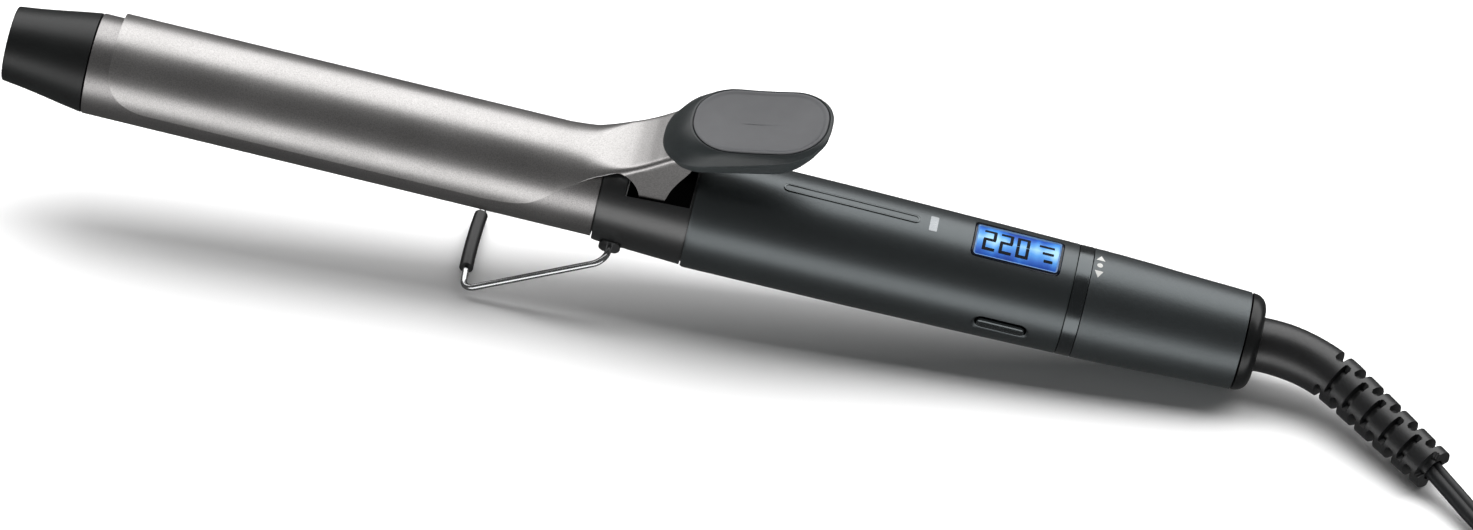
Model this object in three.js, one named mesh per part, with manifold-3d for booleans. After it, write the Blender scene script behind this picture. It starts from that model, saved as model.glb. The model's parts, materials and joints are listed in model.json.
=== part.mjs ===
// Curling iron with a sprung hair clip, a fold-out wire stand, a temperature dial and a swivel cord.
// Millimetres, +Z up, +X from the cool tip to the cord. It stands on the wire stand and the end cap.
// Most pieces are drawn in the iron's own frame: s along its axis from the cool tip, y across it
// (the power button is on the -Y side) and u upwards. The iron group then tilts that frame.
import * as THREE from "three";
import { mergeVertices } from "three/addons/utils/BufferGeometryUtils.js";
import Module from "manifold-3d";

const wasm = await Module();
wasm.setup();

// Driving dimensions
const TILT = THREE.MathUtils.degToRad(5.63);
const FIT = 0.3;
const BARREL = { front: 20.9, back: 148.8, radius: 12.5, bore: 11.3 };
const CLIP = { front: 26.3, back: 148.6, inner: 12.85, sheet: 0.9, halfWidth: 9.9 };
const HINGE = { s: 160.5, u: 5.5, pin: 1.25, eye: 4 };
const COLLAR = { front: 149.2, back: 171.3, bore: 11.3, pocket: 10.3, pocketFront: 154.8 };
const LEVER = { s: 185, u: 34, slope: THREE.MathUtils.degToRad(16), width: 24.4, thick: 7 };
const PAD = { front: -18.2, back: 14.2, width: 21.8, thick: 1 };
const STAND = { s: 154, u: -7.5, wire: 0.82, leg: 39.1, reach: 17.5, sleeve: 1.62, bow: 1 };
const STAND_ANGLE = THREE.MathUtils.degToRad(32.9);
const HANDLE = { front: 171.6, back: 265.5, bore: 12.6 };
const WINDOW = { front: 239.6, back: 261.7, halfWidth: 5.35 };
const BUTTON = { s: 251, angle: THREE.MathUtils.degToRad(96), length: 12, width: 3 };
const RING = { front: 265.8, back: 269.1, radius: 13.75 };
const SPINDLE = { front: 262.2, back: 309.2, radius: 10.2, bore: 8.7 };
const DIAL = { front: 269.4, back: 309.4, bore: 10.5 };
const PEG = { s: 279, radius: 1.2 };
const CAP = { front: 309.7, back: 313.4, hole: 7.1 };
const BOOT = { front: 306.4, bendStart: 324.5, bendRadius: 23, straight: 28, neck: 6.6 };
const BOOT_BEND = THREE.MathUtils.degToRad(44);
const BOOT_DROOP = THREE.MathUtils.degToRad(4.2);
const CORD = { radius: 2.1, thick: 3.2 };
const HANK = { x: 309, y: -21, run: 99, fold: 16.5, pitch: 3.5, turns: 2.5, waist: 4, height: 10.6 };
const PLUG = { x: 321.7, y: HANK.y, z: 10.9, length: 24, width: 35, thick: 13.6 };
const PIN = { radius: 2, length: 19, gap: 18.6 };

// Solids

// A closed geometry as a solid that can be joined and cut.
function solid(geometry) {
  geometry.deleteAttribute("normal");
  geometry.deleteAttribute("uv");
  const merged = mergeVertices(geometry, 1e-4);
  const mesh = new wasm.Mesh({
    numProp: 3,
    vertProperties: merged.attributes.position.array,
    triVerts: new Uint32Array(merged.index.array),
  });
  return new wasm.Manifold(mesh);
}

function geometryOf(body) {
  const mesh = body.getMesh();
  const geometry = new THREE.BufferGeometry();
  geometry.setAttribute("position", new THREE.BufferAttribute(mesh.vertProperties, 3));
  geometry.setIndex(new THREE.BufferAttribute(mesh.triVerts, 1));
  geometry.computeVertexNormals();
  return geometry;
}

// A piece turned about the iron's axis: [s, r] pairs, front to back along the outside.
function turned(outline, sides = 28) {
  const points = outline.map(([s, r]) => new THREE.Vector2(r, s));
  return solid(new THREE.LatheGeometry(points, sides).rotateZ(-Math.PI / 2));
}

// A plain turned ring or tube.
function ring(from, to, outer, inner, sides = 28) {
  return turned([[from, outer], [to, outer], [to, inner], [from, inner], [from, outer]], sides);
}

function block([s0, s1], [y0, y1], [u0, u1]) {
  const box = new THREE.BoxGeometry(s1 - s0, y1 - y0, u1 - u0);
  return solid(box.translate((s0 + s1) / 2, (y0 + y1) / 2, (u0 + u1) / 2));
}

function rod(radius, from, to, sides = 12) {
  const [a, b] = [new THREE.Vector3(...from), new THREE.Vector3(...to)];
  const geometry = new THREE.CylinderGeometry(radius, radius, a.distanceTo(b), sides);
  const turn = new THREE.Quaternion();
  turn.setFromUnitVectors(new THREE.Vector3(0, 1, 0), b.clone().sub(a).normalize());
  const middle = a.add(b).multiplyScalar(0.5);
  return solid(geometry.applyQuaternion(turn).translate(...middle.toArray()));
}

function outlineShape(points) {
  return new THREE.Shape(points.map(([x, y]) => new THREE.Vector2(x, y)));
}

function extruded(shape, depth, curveSegments = 6) {
  return new THREE.ExtrudeGeometry(shape, { depth, curveSegments, bevelEnabled: false });
}

// A flat outline of [s, u] pairs, given a width across the iron.
function sideProfile(outline, [y0, y1]) {
  const geometry = extruded(outlineShape(outline), y1 - y0);
  return solid(geometry.rotateX(Math.PI / 2).translate(0, y1, 0));
}

// A cross-section drawn in y and u, run along the axis.
function along(shape, from, to, curveSegments = 12) {
  const geometry = extruded(shape, to - from, curveSegments);
  const turn = new THREE.Matrix4().makeBasis(
    new THREE.Vector3(0, 1, 0),
    new THREE.Vector3(0, 0, 1),
    new THREE.Vector3(1, 0, 0),
  );
  return solid(geometry.applyMatrix4(turn).translate(from, 0, 0));
}

// A rectangle with round corners, centred on a point.
function roundedRectangle(length, width, radius, x = 0, y = 0) {
  const [a, b] = [length / 2 - radius, width / 2 - radius];
  const shape = new THREE.Shape();
  shape.absarc(x + a, y + b, radius, 0, Math.PI / 2);
  shape.absarc(x - a, y + b, radius, Math.PI / 2, Math.PI);
  shape.absarc(x - a, y - b, radius, Math.PI, 1.5 * Math.PI);
  shape.absarc(x + a, y - b, radius, 1.5 * Math.PI, 2 * Math.PI);
  return shape;
}

// A path through the given points, which bends only at them.
class Route extends THREE.Curve {
  constructor(points) {
    super();
    this.points = points;
  }
  getPoint(t, target = new THREE.Vector3()) {
    const last = this.points.length - 1;
    const i = Math.min(Math.floor(t * last + 1e-6), last - 1);
    return target.lerpVectors(this.points[i], this.points[i + 1], t * last - i);
  }
  getPointAt(t, target) {
    return this.getPoint(t, target);
  }
  getTangentAt(t, target = new THREE.Vector3()) {
    const last = this.points.length - 1;
    const i = Math.round(t * last);
    const way = (k) => this.points[k + 1].clone().sub(this.points[k]).normalize();
    return target.addVectors(way(Math.max(i - 1, 0)), way(Math.min(i, last - 1))).normalize();
  }
}

// A rod or tube of round section along a list of points.
function bentRod(points, radius, sides = 8, bore = 0) {
  const path = new Route(points);
  const circle = (r, n) =>
    Array.from({ length: n }, (_, k) => {
      const angle = (2 * Math.PI * k) / n;
      return new THREE.Vector2(r * Math.cos(angle), r * Math.sin(angle));
    });
  const shape = new THREE.Shape(circle(radius, sides));
  if (bore) shape.holes.push(new THREE.Path(circle(bore, sides)));
  const steps = points.length - 1;
  return solid(new THREE.ExtrudeGeometry(shape, { steps, extrudePath: path, bevelEnabled: false }));
}

// Corner points with each inner corner turned into an arc.
function rounded(corners, radius, steps = 4) {
  const points = corners.map((corner) => new THREE.Vector3(...corner));
  const result = [points[0]];
  for (let k = 1; k < points.length - 1; k++) {
    const back = points[k - 1].clone().sub(points[k]).normalize();
    const on = points[k + 1].clone().sub(points[k]).normalize();
    const half = back.angleTo(on) / 2;
    const start = points[k].clone().addScaledVector(back, radius / Math.tan(half));
    const end = points[k].clone().addScaledVector(on, radius / Math.tan(half));
    const middle = back.clone().add(on).normalize();
    const centre = points[k].clone().addScaledVector(middle, radius / Math.sin(half));
    for (let j = 0; j <= steps; j++) {
      const share = j / steps;
      const turn = Math.PI - 2 * half;
      const [a, b] = [Math.sin((1 - share) * turn), Math.sin(share * turn)];
      const arm = start.clone().sub(centre).multiplyScalar(a / Math.sin(turn));
      arm.addScaledVector(end.clone().sub(centre), b / Math.sin(turn));
      result.push(centre.clone().add(arm));
    }
  }
  result.push(points[points.length - 1]);
  return result;
}

// Finishes
const FINISHES = {
  coolPlastic: { color: 0x1c2222, roughness: 0.6, metalness: 0 },
  barrelCoating: { color: 0x8e8c8c, roughness: 0.35, metalness: 0.9 },
  clipSteel: { color: 0xa8a6a6, roughness: 0.3, metalness: 1 },
  aluminium: { color: 0xb9bcbe, roughness: 0.45, metalness: 1 },
  ceramic: { color: 0xe6e0d2, roughness: 0.7, metalness: 0 },
  collarPlastic: { color: 0x2a2e30, roughness: 0.5, metalness: 0 },
  leverPlastic: { color: 0x34393a, roughness: 0.5, metalness: 0 },
  padPlastic: { color: 0x78787a, roughness: 0.45, metalness: 0.2 },
  steelWire: { color: 0xc8c8c8, roughness: 0.2, metalness: 1 },
  softTouch: { color: 0x3c4042, roughness: 0.6, metalness: 0 },
  glossBlack: { color: 0x15181a, roughness: 0.12, metalness: 0 },
  innerPlastic: { color: 0x5a5e62, roughness: 0.6, metalness: 0 },
  circuitBoard: { color: 0x1f6b3a, roughness: 0.5, metalness: 0 },
  component: { color: 0x202226, roughness: 0.5, metalness: 0 },
  filmYellow: { color: 0xd8b429, roughness: 0.4, metalness: 0 },
  displayBlue: { color: 0x4a82c8, roughness: 0.2, metalness: 0 },
  clearLens: { color: 0x2c4f86, roughness: 0.05, metalness: 0 },
  lightGuide: { color: 0xe8eef6, roughness: 0.4, metalness: 0 },
  brass: { color: 0xc9a24a, roughness: 0.35, metalness: 1 },
  cordVinyl: { color: 0x1d1f20, roughness: 0.45, metalness: 0 },
  silicone: { color: 0xc4472e, roughness: 0.6, metalness: 0 },
};

function piece(group, name, finish, body) {
  const mesh = new THREE.Mesh(geometryOf(body), new THREE.MeshStandardMaterial(FINISHES[finish]));
  mesh.name = name;
  group.add(mesh);
  return mesh;
}

// Cool tip: a hollow moulded cap whose spigot plugs the front of the barrel.
function coolTip() {
  const outside = [[0, 0], [0, 8.4], [0.8, 9.3], [5.6, 9.9], [10.5, 10.7], [15.4, 11.6]];
  const shoulder = BARREL.front - FIT;
  const spigot = BARREL.bore - FIT;
  const rest = [[shoulder, BARREL.radius], [shoulder, spigot], [26, spigot], [26, 9.4], [3, 7.2], [3, 0]];
  return turned([...outside, ...rest]);
}

function barrel() {
  return ring(BARREL.front, BARREL.back, BARREL.radius, BARREL.bore, 36);
}

// Heater: a ceramic plate clamped between two half-round aluminium spreaders.
const SPREADER = { front: 32, back: 138, radius: BARREL.bore - FIT, flat: 1.4 };

function heatSpreader(side) {
  const start = Math.asin(SPREADER.flat / SPREADER.radius);
  const shape = new THREE.Shape();
  shape.absarc(0, 0, SPREADER.radius, start, Math.PI - start);
  const body = along(shape, SPREADER.front, SPREADER.back, 12);
  return side > 0 ? body : body.rotate([180, 0, 0]);
}

// Collar: the hinge housing behind the barrel. Its pocket takes the clip's ears and spring,
// and the tunnel under the pocket's floor takes the heater's leads.
function hingeCollar() {
  const outside = [[COLLAR.front, 0], [COLLAR.front, 13], [150.2, 13.25], [COLLAR.back, 14.2]];
  const shell = turned([...outside, [COLLAR.back, 0]], 36);
  const bore = rod(COLLAR.bore, [COLLAR.front - 1, 0, 0], [COLLAR.pocketFront - 1.4, 0, 0], 32);
  const tunnelShape = new THREE.Shape();
  tunnelShape.absarc(0, 0, COLLAR.bore, -Math.PI + 0.08, -0.08);
  const tunnel = along(tunnelShape, COLLAR.front, COLLAR.back + 1);
  const wide = COLLAR.pocket;
  const pocket = block([COLLAR.pocketFront, COLLAR.back + 1], [-wide, wide], [0.6, 20]);
  const pinHole = rod(HINGE.pin + FIT, [HINGE.s, -20, HINGE.u], [HINGE.s, 20, HINGE.u], 12);
  let body = shell.subtract(bore).subtract(tunnel).subtract(pocket).subtract(pinHole);
  for (const side of [-1, 1]) {
    const oval = extruded(roundedRectangle(7, 4.6, 2.25, STAND.s, STAND.u), 3, 4);
    const boss = solid(oval.rotateX(Math.PI / 2).translate(0, side > 0 ? 13 : -10, 0));
    body = body.add(boss);
    const [inside, outsideEnd] = [side * 5, side * 15];
    body = body.subtract(
      rod(STAND.wire + FIT, [STAND.s, inside, STAND.u], [STAND.s, outsideEnd, STAND.u], 10),
    );
  }
  return body;
}

// Clip: pressed from one sheet. The blade hugs half of the barrel, two ears go down to the hinge
// pin, and a tang behind them carries the thumb lever.
const TANG_TOP = [[143, 13.75], [147, 14.3], [150, 14.9], [154, 16.3], [165, 24.3], [181, 28.9]];

function clipBlade() {
  const outer = CLIP.inner + CLIP.sheet;
  const shape = new THREE.Shape();
  shape.absarc(0, 0, outer, 0, Math.PI);
  shape.absarc(0, 0, CLIP.inner, Math.PI, 0, true);
  let body = along(shape, CLIP.front, CLIP.back, 18);
  body = body.subtract(sideProfile(frontCorner(), [-20, 20]));
  const rise = [[122, 0], [128, 0.6], [132, 1.7], [135.5, 4], [138.7, 6.6], [142, 8.7], [149, 12.8]];
  body = body.subtract(sideProfile([...rise, [150, -2], [122, -2]], [-20, 20]));
  const under = TANG_TOP.map(([s, u]) => [s, u - CLIP.sheet]).reverse();
  const wide = CLIP.halfWidth;
  const tang = sideProfile([...TANG_TOP, ...under], [-wide, wide]);
  const plan = [[142, -4.5], [152, -wide], [182, -wide], [182, wide], [152, wide], [142, 4.5]];
  body = body.add(tang.intersect(solid(extruded(outlineShape(plan), 40))));
  for (const side of [-1, 1]) body = body.add(ear(side));
  const eye = rod(HINGE.pin + 0.35, [HINGE.s, -20, HINGE.u], [HINGE.s, 20, HINGE.u], 12);
  body = body.subtract(eye);
  for (const at of LEVER_SCREWS) body = body.subtract(leverRod(1.35, at, -6, -3));
  return body;
}

// The blade's front corners are rounded by a quarter of an ellipse, in side view.
function frontCorner() {
  const [length, height] = [10.7, 9.7];
  const points = [];
  for (let k = 0; k <= 6; k++) {
    const angle = Math.PI + (k * Math.PI) / 12;
    points.push([
      CLIP.front + length * (1 + Math.cos(angle)),
      height * (1 + Math.sin(angle)),
    ]);
  }
  return [...points, [CLIP.front + length, -2], [CLIP.front - 2, -2], [CLIP.front - 2, height]];
}

function ear(side) {
  const eye = [];
  for (let k = 0; k <= 6; k++) {
    const angle = Math.PI + (k * Math.PI) / 6;
    eye.push([HINGE.s + HINGE.eye * Math.cos(angle), HINGE.u + HINGE.eye * Math.sin(angle)]);
  }
  const front = [[153, 14.9], [155.2, 12.6], [156.4, 10.6]];
  const back = [[165.6, 9.4], [166.4, 12.5], [167.6, 16], [169.6, 20.6], [170.5, 25], [165, 23.6]];
  const outline = [...front, ...eye, ...back];
  const [near, far] = [CLIP.halfWidth - CLIP.sheet, CLIP.halfWidth];
  return sideProfile(outline, side > 0 ? [near, far] : [-far, -near]);
}

// Places a solid drawn in the lever's own frame: its top face is h = 0, and a runs up its slope.
function onLever(geometry) {
  return geometry.rotateY(-LEVER.slope).translate(LEVER.s, 0, LEVER.u);
}

const LEVER_SCREWS = [-14.6, -8.4];

function leverRod(radius, at, from, to, sides = 10) {
  const geometry = new THREE.CylinderGeometry(radius, radius, to - from, sides);
  return solid(onLever(geometry.rotateX(Math.PI / 2).translate(at, 0, (from + to) / 2)));
}

// Lever: a moulded finger rest, hollow underneath so that it slips over the clip's tang.
function leverBody() {
  const [front, back] = [-26.7, 15.1];
  const plan = roundedRectangle(back - front, LEVER.width, 11, (front + back) / 2);
  const blank = solid(onLever(extruded(plan, LEVER.thick, 8).translate(0, 0, -LEVER.thick)));
  const nose = leverProfile([[-19.5, 0.1], [-27.5, -6.6], [-30, -6.6], [-30, 0.1]]);
  const heel = leverProfile([[9, -7.1], [16, -2.6], [16, -7.1]]);
  const cavity = sideProfile(
    [[150, 10], [154, 16.7], [165, 24.7], [182, 29.55], [182, 10]],
    [-CLIP.halfWidth - 0.4, CLIP.halfWidth + 0.4],
  );
  const seatPlan = roundedRectangle(
    PAD.back - PAD.front + 2 * FIT,
    PAD.width + 2 * FIT,
    10.2,
    (PAD.front + PAD.back) / 2,
  );
  const seat = solid(onLever(extruded(seatPlan, 3, 8).translate(0, 0, -PAD.thick - FIT)));
  let body = blank.subtract(nose).subtract(heel).subtract(cavity).subtract(seat);
  for (const at of LEVER_SCREWS) body = body.subtract(leverRod(1.3, at, -6, -1.75));
  return body;
}

function leverProfile(outline) {
  const geometry = extruded(outlineShape(outline), 40);
  return solid(onLever(geometry.rotateX(Math.PI / 2).translate(0, 20, 0)));
}

function thumbPad() {
  const middle = (PAD.front + PAD.back) / 2;
  const plan = roundedRectangle(PAD.back - PAD.front, PAD.width, 9.9, middle);
  return solid(onLever(extruded(plan, PAD.thick, 8).translate(0, 0, -PAD.thick)));
}

function leverScrew(at) {
  const [tip, headTop, headBottom] = [-2.05, -5, -6.2];
  return leverRod(1, at, headTop - 0.2, tip).add(leverRod(2, at, headBottom, headTop, 12));
}

function hingePin() {
  const half = 12.2;
  return rod(HINGE.pin, [HINGE.s, -half, HINGE.u], [HINGE.s, half, HINGE.u], 14);
}

// Torsion spring: coils round the hinge pin, one arm on the pocket's floor, one under the tang.
function clipSpring() {
  const [wire, coil, turns, halfWidth, perTurn] = [0.45, 2.25, 5.25, 4.2, 9];
  const points = [new THREE.Vector3(155.9, -halfWidth, 1.6)];
  const steps = turns * perTurn;
  for (let k = 0; k <= steps; k++) {
    const angle = -Math.PI / 2 - (2 * Math.PI * k) / perTurn;
    const y = -halfWidth + (2 * halfWidth * k) / steps;
    points.push(
      new THREE.Vector3(HINGE.s + coil * Math.cos(angle), y, HINGE.u + coil * Math.sin(angle)),
    );
  }
  points.push(new THREE.Vector3(159.2, halfWidth, 18.2));
  return bentRod(points, wire, 5);
}

// Stand: one bent wire whose ends turn in the collar's two bosses.
function standCorner(y, drop = 0) {
  const length = STAND.leg + drop;
  const s = STAND.s - length * Math.cos(STAND_ANGLE);
  return [s, y, STAND.u - length * Math.sin(STAND_ANGLE)];
}

function standWire() {
  const inner = 8.9;
  const corners = [
    [STAND.s, -inner, STAND.u],
    [STAND.s, -STAND.reach, STAND.u],
    standCorner(-STAND.reach),
    standCorner(0, STAND.bow),
    standCorner(STAND.reach),
    [STAND.s, STAND.reach, STAND.u],
    [STAND.s, inner, STAND.u],
  ];
  return bentRod(rounded(corners, 3.6), STAND.wire, 8);
}

function standSleeve() {
  const half = 9.7;
  const share = STAND.bow * (1 - half / STAND.reach);
  const ends = [standCorner(-half, share), standCorner(0, STAND.bow), standCorner(half, share)];
  const points = ends.map((point) => new THREE.Vector3(...point));
  return bentRod(points, STAND.sleeve, 12, STAND.wire + FIT);
}

// Handle: a one-piece sleeve with openings for the display and the power button.
function handleSleeve() {
  const outside = [
    [HANDLE.front, 14.2],
    [HANDLE.front + 0.6, 14.6],
    [205, 14.5],
    [225, 14.3],
    [244, 14.05],
    [HANDLE.back, 13.7],
  ];
  const wall = HANDLE.front + 1.6;
  const inside = [[HANDLE.back, 12], [wall, HANDLE.bore], [wall, 7], [HANDLE.front, 7]];
  const shell = turned([...outside, ...inside, outside[0]], 36);
  const [front, back, wide] = [WINDOW.front - FIT, WINDOW.back + FIT, WINDOW.halfWidth + FIT];
  const opening = block([front, back], [-wide, wide], [8, 16]);
  const slot = onFlank(roundedRectangle(BUTTON.length + 0.7, BUTTON.width + 0.7, 1.84), 10, 16);
  const dish = onFlank(roundedRectangle(BUTTON.length + 2.6, BUTTON.width + 2.2, 2.59), 13.4, 16);
  return shell.subtract(opening).subtract(slot).subtract(dish);
}

// Stands a flat shape on the near flank, from one distance off the axis to another.
function onFlank(shape, from, to) {
  const geometry = extruded(shape, to - from, 4).translate(0, 0, from);
  return solid(geometry.rotateX(BUTTON.angle).translate(BUTTON.s, 0, 0));
}

function chassis() {
  const [outer, inner, start] = [11.7, 10.6, THREE.MathUtils.degToRad(25)];
  const shape = new THREE.Shape();
  shape.absarc(0, 0, outer, -Math.PI + start, -start);
  shape.absarc(0, 0, inner, -start, -Math.PI + start, true);
  return along(shape, 176, 260, 12);
}

function displayWindow() {
  const shell = ring(WINDOW.front, WINDOW.back, 13.95, 12.9, 48);
  const wide = WINDOW.halfWidth;
  return shell.intersect(block([WINDOW.front, WINDOW.back], [-wide, wide], [8, 16]));
}

function powerButton() {
  const cap = onFlank(roundedRectangle(BUTTON.length, BUTTON.width, 1.49), 10.9, 14.1);
  const flange = onFlank(roundedRectangle(BUTTON.length + 1.6, BUTTON.width + 1.6, 2.29), 10.9, 11.8);
  return cap.add(flange);
}

function rearSpindle() {
  const { front, back, radius, bore } = SPINDLE;
  const flangeBack = HANDLE.back - 0.3;
  const outside = [[front, 11.6], [flangeBack, 11.6], [flangeBack, radius], [back, radius]];
  const body = turned([...outside, [back, bore], [front, bore], [front, 11.6]]);
  return body.subtract(block([PEG.s - 2, PEG.s + 2], [-4.6, 4.6], [0, 12]));
}

// Dial: a twist sleeve round the spindle. A peg in it works the switch through a slot.
function temperatureDial() {
  const outside = [[DIAL.front, 13.65], [273, 13.6], [283, 13.28], [293, 12.8], [303, 12.42]];
  const springSeat = DIAL.front + 4.6;
  const inside = [
    [DIAL.back, 12.15],
    [DIAL.back, DIAL.bore],
    [springSeat, DIAL.bore],
    [springSeat, 12],
    [DIAL.front, 12],
  ];
  const body = turned([...outside, ...inside, outside[0]]);
  return body.subtract(rod(PEG.radius + FIT, [PEG.s, 0, 9], [PEG.s, 0, 12], 10));
}

function dialReturnSpring() {
  const points = [];
  for (let k = 0; k <= 20; k++) {
    const angle = THREE.MathUtils.degToRad(30 + (300 * k) / 20);
    points.push(new THREE.Vector3(271.7, 11.1 * Math.sin(angle), 11.1 * Math.cos(angle)));
  }
  return bentRod(points, 0.45, 6);
}

function endCap() {
  const spigot = SPINDLE.bore - FIT;
  const rim = [[CAP.front, 12.3], [310.3, 12.4], [311.6, 12], [312.7, 10.8], [CAP.back, 9.2]];
  const outline = [[307, spigot], [CAP.front, spigot], ...rim, [CAP.back, CAP.hole], [307, CAP.hole]];
  return turned([...outline, outline[0]]);
}

// Swivel: a flanged bush that turns in the end cap and carries the two slip rings.
function swivelBush() {
  const outside = [[288.5, 5], [302.8, 5], [302.8, 8.2], [306.1, 8.2], [306.1, 4.6], [312, 4.6]];
  return turned([...outside, [312, 2.4], [288.5, 2.4], outside[0]], 20);
}

function slipRing(front) {
  return ring(front, front + 2.6, 7.2, 5.3, 20);
}

function brushLive() {
  return block([282, 293.4], [-1.2, 1.2], [7.55, 7.95]);
}

function brushNeutral() {
  const strip = block([282, 299], [-1.2, 1.2], [-8.35, -8]);
  return strip.add(block([296.7, 299], [-1.2, 1.2], [-8.1, -7.55]));
}

// Boot: the strain relief, an elbow that ends in a tapered ribbed sleeve.
function bootEnd() {
  const { bendStart, bendRadius, straight } = BOOT;
  const s = bendStart + bendRadius * Math.sin(BOOT_BEND) + straight * Math.cos(BOOT_BEND);
  const y = -bendRadius * (1 - Math.cos(BOOT_BEND)) - straight * Math.sin(BOOT_BEND);
  return new THREE.Vector3(s, y, 0);
}

function cordBoot() {
  const { front, bendStart, bendRadius, straight, neck } = BOOT;
  const points = [new THREE.Vector3(front, 0, 0)];
  for (let k = 0; k <= 6; k++) {
    const angle = (BOOT_BEND * k) / 6;
    const s = bendStart + bendRadius * Math.sin(angle);
    points.push(new THREE.Vector3(s, -bendRadius * (1 - Math.cos(angle)), 0));
  }
  const way = new THREE.Vector3(Math.cos(BOOT_BEND), -Math.sin(BOOT_BEND), 0);
  points.push(bootEnd().addScaledVector(way, 3 - straight));
  const elbow = bentRod(points, neck, 14);
  const socket = rod(5, [front - 1, 0, 0], [312.4, 0, 0], 14);
  return elbow.add(bootSleeve()).subtract(socket);
}

function bootSleeve() {
  const [ribs, groove] = [5, 1];
  const pitch = BOOT.straight / (ribs + 0.5);
  const radius = (at) => 6.2 - (0.75 * at) / BOOT.straight;
  const outline = [[0, 0], [0, radius(0)]];
  for (let k = 0; k < ribs; k++) {
    const at = pitch * (k + 0.6);
    outline.push([at, radius(at)], [at, radius(at) - groove]);
    outline.push([at + 1.7, radius(at) - groove], [at + 1.7, radius(at + 1.7)]);
  }
  outline.push([BOOT.straight, radius(BOOT.straight)], [BOOT.straight, 0]);
  const points = outline.map(([at, r]) => new THREE.Vector2(r, at));
  const geometry = new THREE.LatheGeometry(points, 14).rotateZ(-Math.PI / 2);
  geometry.translate(-BOOT.straight, 0, 0).rotateZ(-BOOT_BEND);
  return solid(geometry.translate(...bootEnd().toArray()));
}

// Free cord: it leaves the boot, comes down to the table and runs to the hank behind the iron.
const CORD_ROUTE = [
  [202.9, -26, 5.47],
  [208.6, -31.6, 4.4],
  [214.5, -37.3, 3.2],
  [220.5, -42.4, 2.35],
  [227.5, -46.8, 2.15],
  [236, -49.4, 2.15],
  [247.5, -49.6, 2.15],
];

// Half-width of the hank on its centre line at a distance x from its waist.
function hankSide(x, radius) {
  const { run, fold, waist } = HANK;
  return radius - ((fold - waist) * (1 + Math.cos((2 * Math.PI * x) / run))) / 2;
}

function cordHank() {
  const radius = HANK.fold + HANK.pitch * HANK.turns + CORD.thick / 2 + 0.2;
  const half = HANK.run / 2;
  const run = Array.from({ length: 9 }, (_, k) => half - (HANK.run * k) / 8);
  const shape = new THREE.Shape();
  shape.absarc(half, 0, radius, -Math.PI / 2, Math.PI / 2);
  run.slice(1, -1).forEach((x) => shape.lineTo(x, hankSide(x, radius)));
  shape.absarc(-half, 0, radius, Math.PI / 2, 1.5 * Math.PI);
  run.slice(1, -1).reverse().forEach((x) => shape.lineTo(x, -hankSide(x, radius)));
  const body = solid(extruded(shape, HANK.height, 10).translate(HANK.x, HANK.y, 0.1));
  const under = block([HANK.x - 6.5, HANK.x + 6.5], [HANK.y - 30, HANK.y + 30], [-1, 1.1]);
  return body.subtract(under);
}

function cordTie() {
  const half = HANK.waist + HANK.pitch * HANK.turns + 3.2;
  const top = HANK.height + 0.4;
  const around = ([x, y, low, high]) =>
    block([HANK.x - x, HANK.x + x], [HANK.y - y, HANK.y + y], [low, high]);
  return around([5, half + 0.7, 0.1, top + 0.7]).subtract(around([6, half, 0.8, top]));
}

// Mains plug: a flat two-pin body that lies on its side face on top of the hank.
function plugBody() {
  const { x, y, z, length, width, thick } = PLUG;
  const [half, cut] = [width / 2, 8.5];
  const plan = [
    [0, -half + cut],
    [cut, -half],
    [length, -half + 3],
    [length, half - 3],
    [cut, half],
    [0, half - cut],
  ];
  const geometry = extruded(outlineShape(plan), thick);
  let body = solid(geometry.translate(x, y, z));
  const hole = PIN.radius + FIT;
  for (const side of [-1, 1]) body = body.subtract(plugRod(side, hole, length - 6, length + 1));
  return body;
}

function plugRod(side, radius, from, to) {
  const [y, z] = [PLUG.y + (side * PIN.gap) / 2, PLUG.z + PLUG.thick / 2];
  return rod(radius, [PLUG.x + from, y, z], [PLUG.x + to, y, z], 14);
}

function plugPin(side) {
  return plugRod(side, PIN.radius, PLUG.length - 6 + FIT, PLUG.length + PIN.length);
}

function plugRelief() {
  const outline = [[0, 0], [0, 3.4], [18, 5.2], [18, 0]];
  return turned(outline, 12).translate([PLUG.x - 18 - FIT, PLUG.y, PLUG.z + PLUG.thick / 2]);
}

// The cord's last stretch folds over the top of the hank to the plug.
const PLUG_ROUTE = [
  [260, 3.1, 13.2],
  [252.2, 1, 13.2],
  [246.6, -4.6, 13.2],
  [244.5, -12.4, 13.2],
  [246.6, -20.2, 13.2],
  [252.2, -25.8, 13.2],
  [260, -27.9, 13.2],
  [270, -27.2, 13.2],
  [281, -24.6, 13.6],
  [291, -22.2, 15.4],
  [297.5, -21.3, 16.9],
  [302.9, -21, 17.7],
];

function freeCord(route) {
  return bentRod(route.map((point) => new THREE.Vector3(...point)), CORD.radius, 8);
}

// Heater leads: sheathed wires from the heater through the collar's tunnel to the board.
function heaterLead(side) {
  const y = side * 3.6;
  const corners = [[139, y, -3], [151, y, -3], [157, y, -5], [171, y, -5], [178, y, -1.4], [183, y, -1.4]];
  return bentRod(rounded(corners, 3, 2), 0.7, 6);
}

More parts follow.
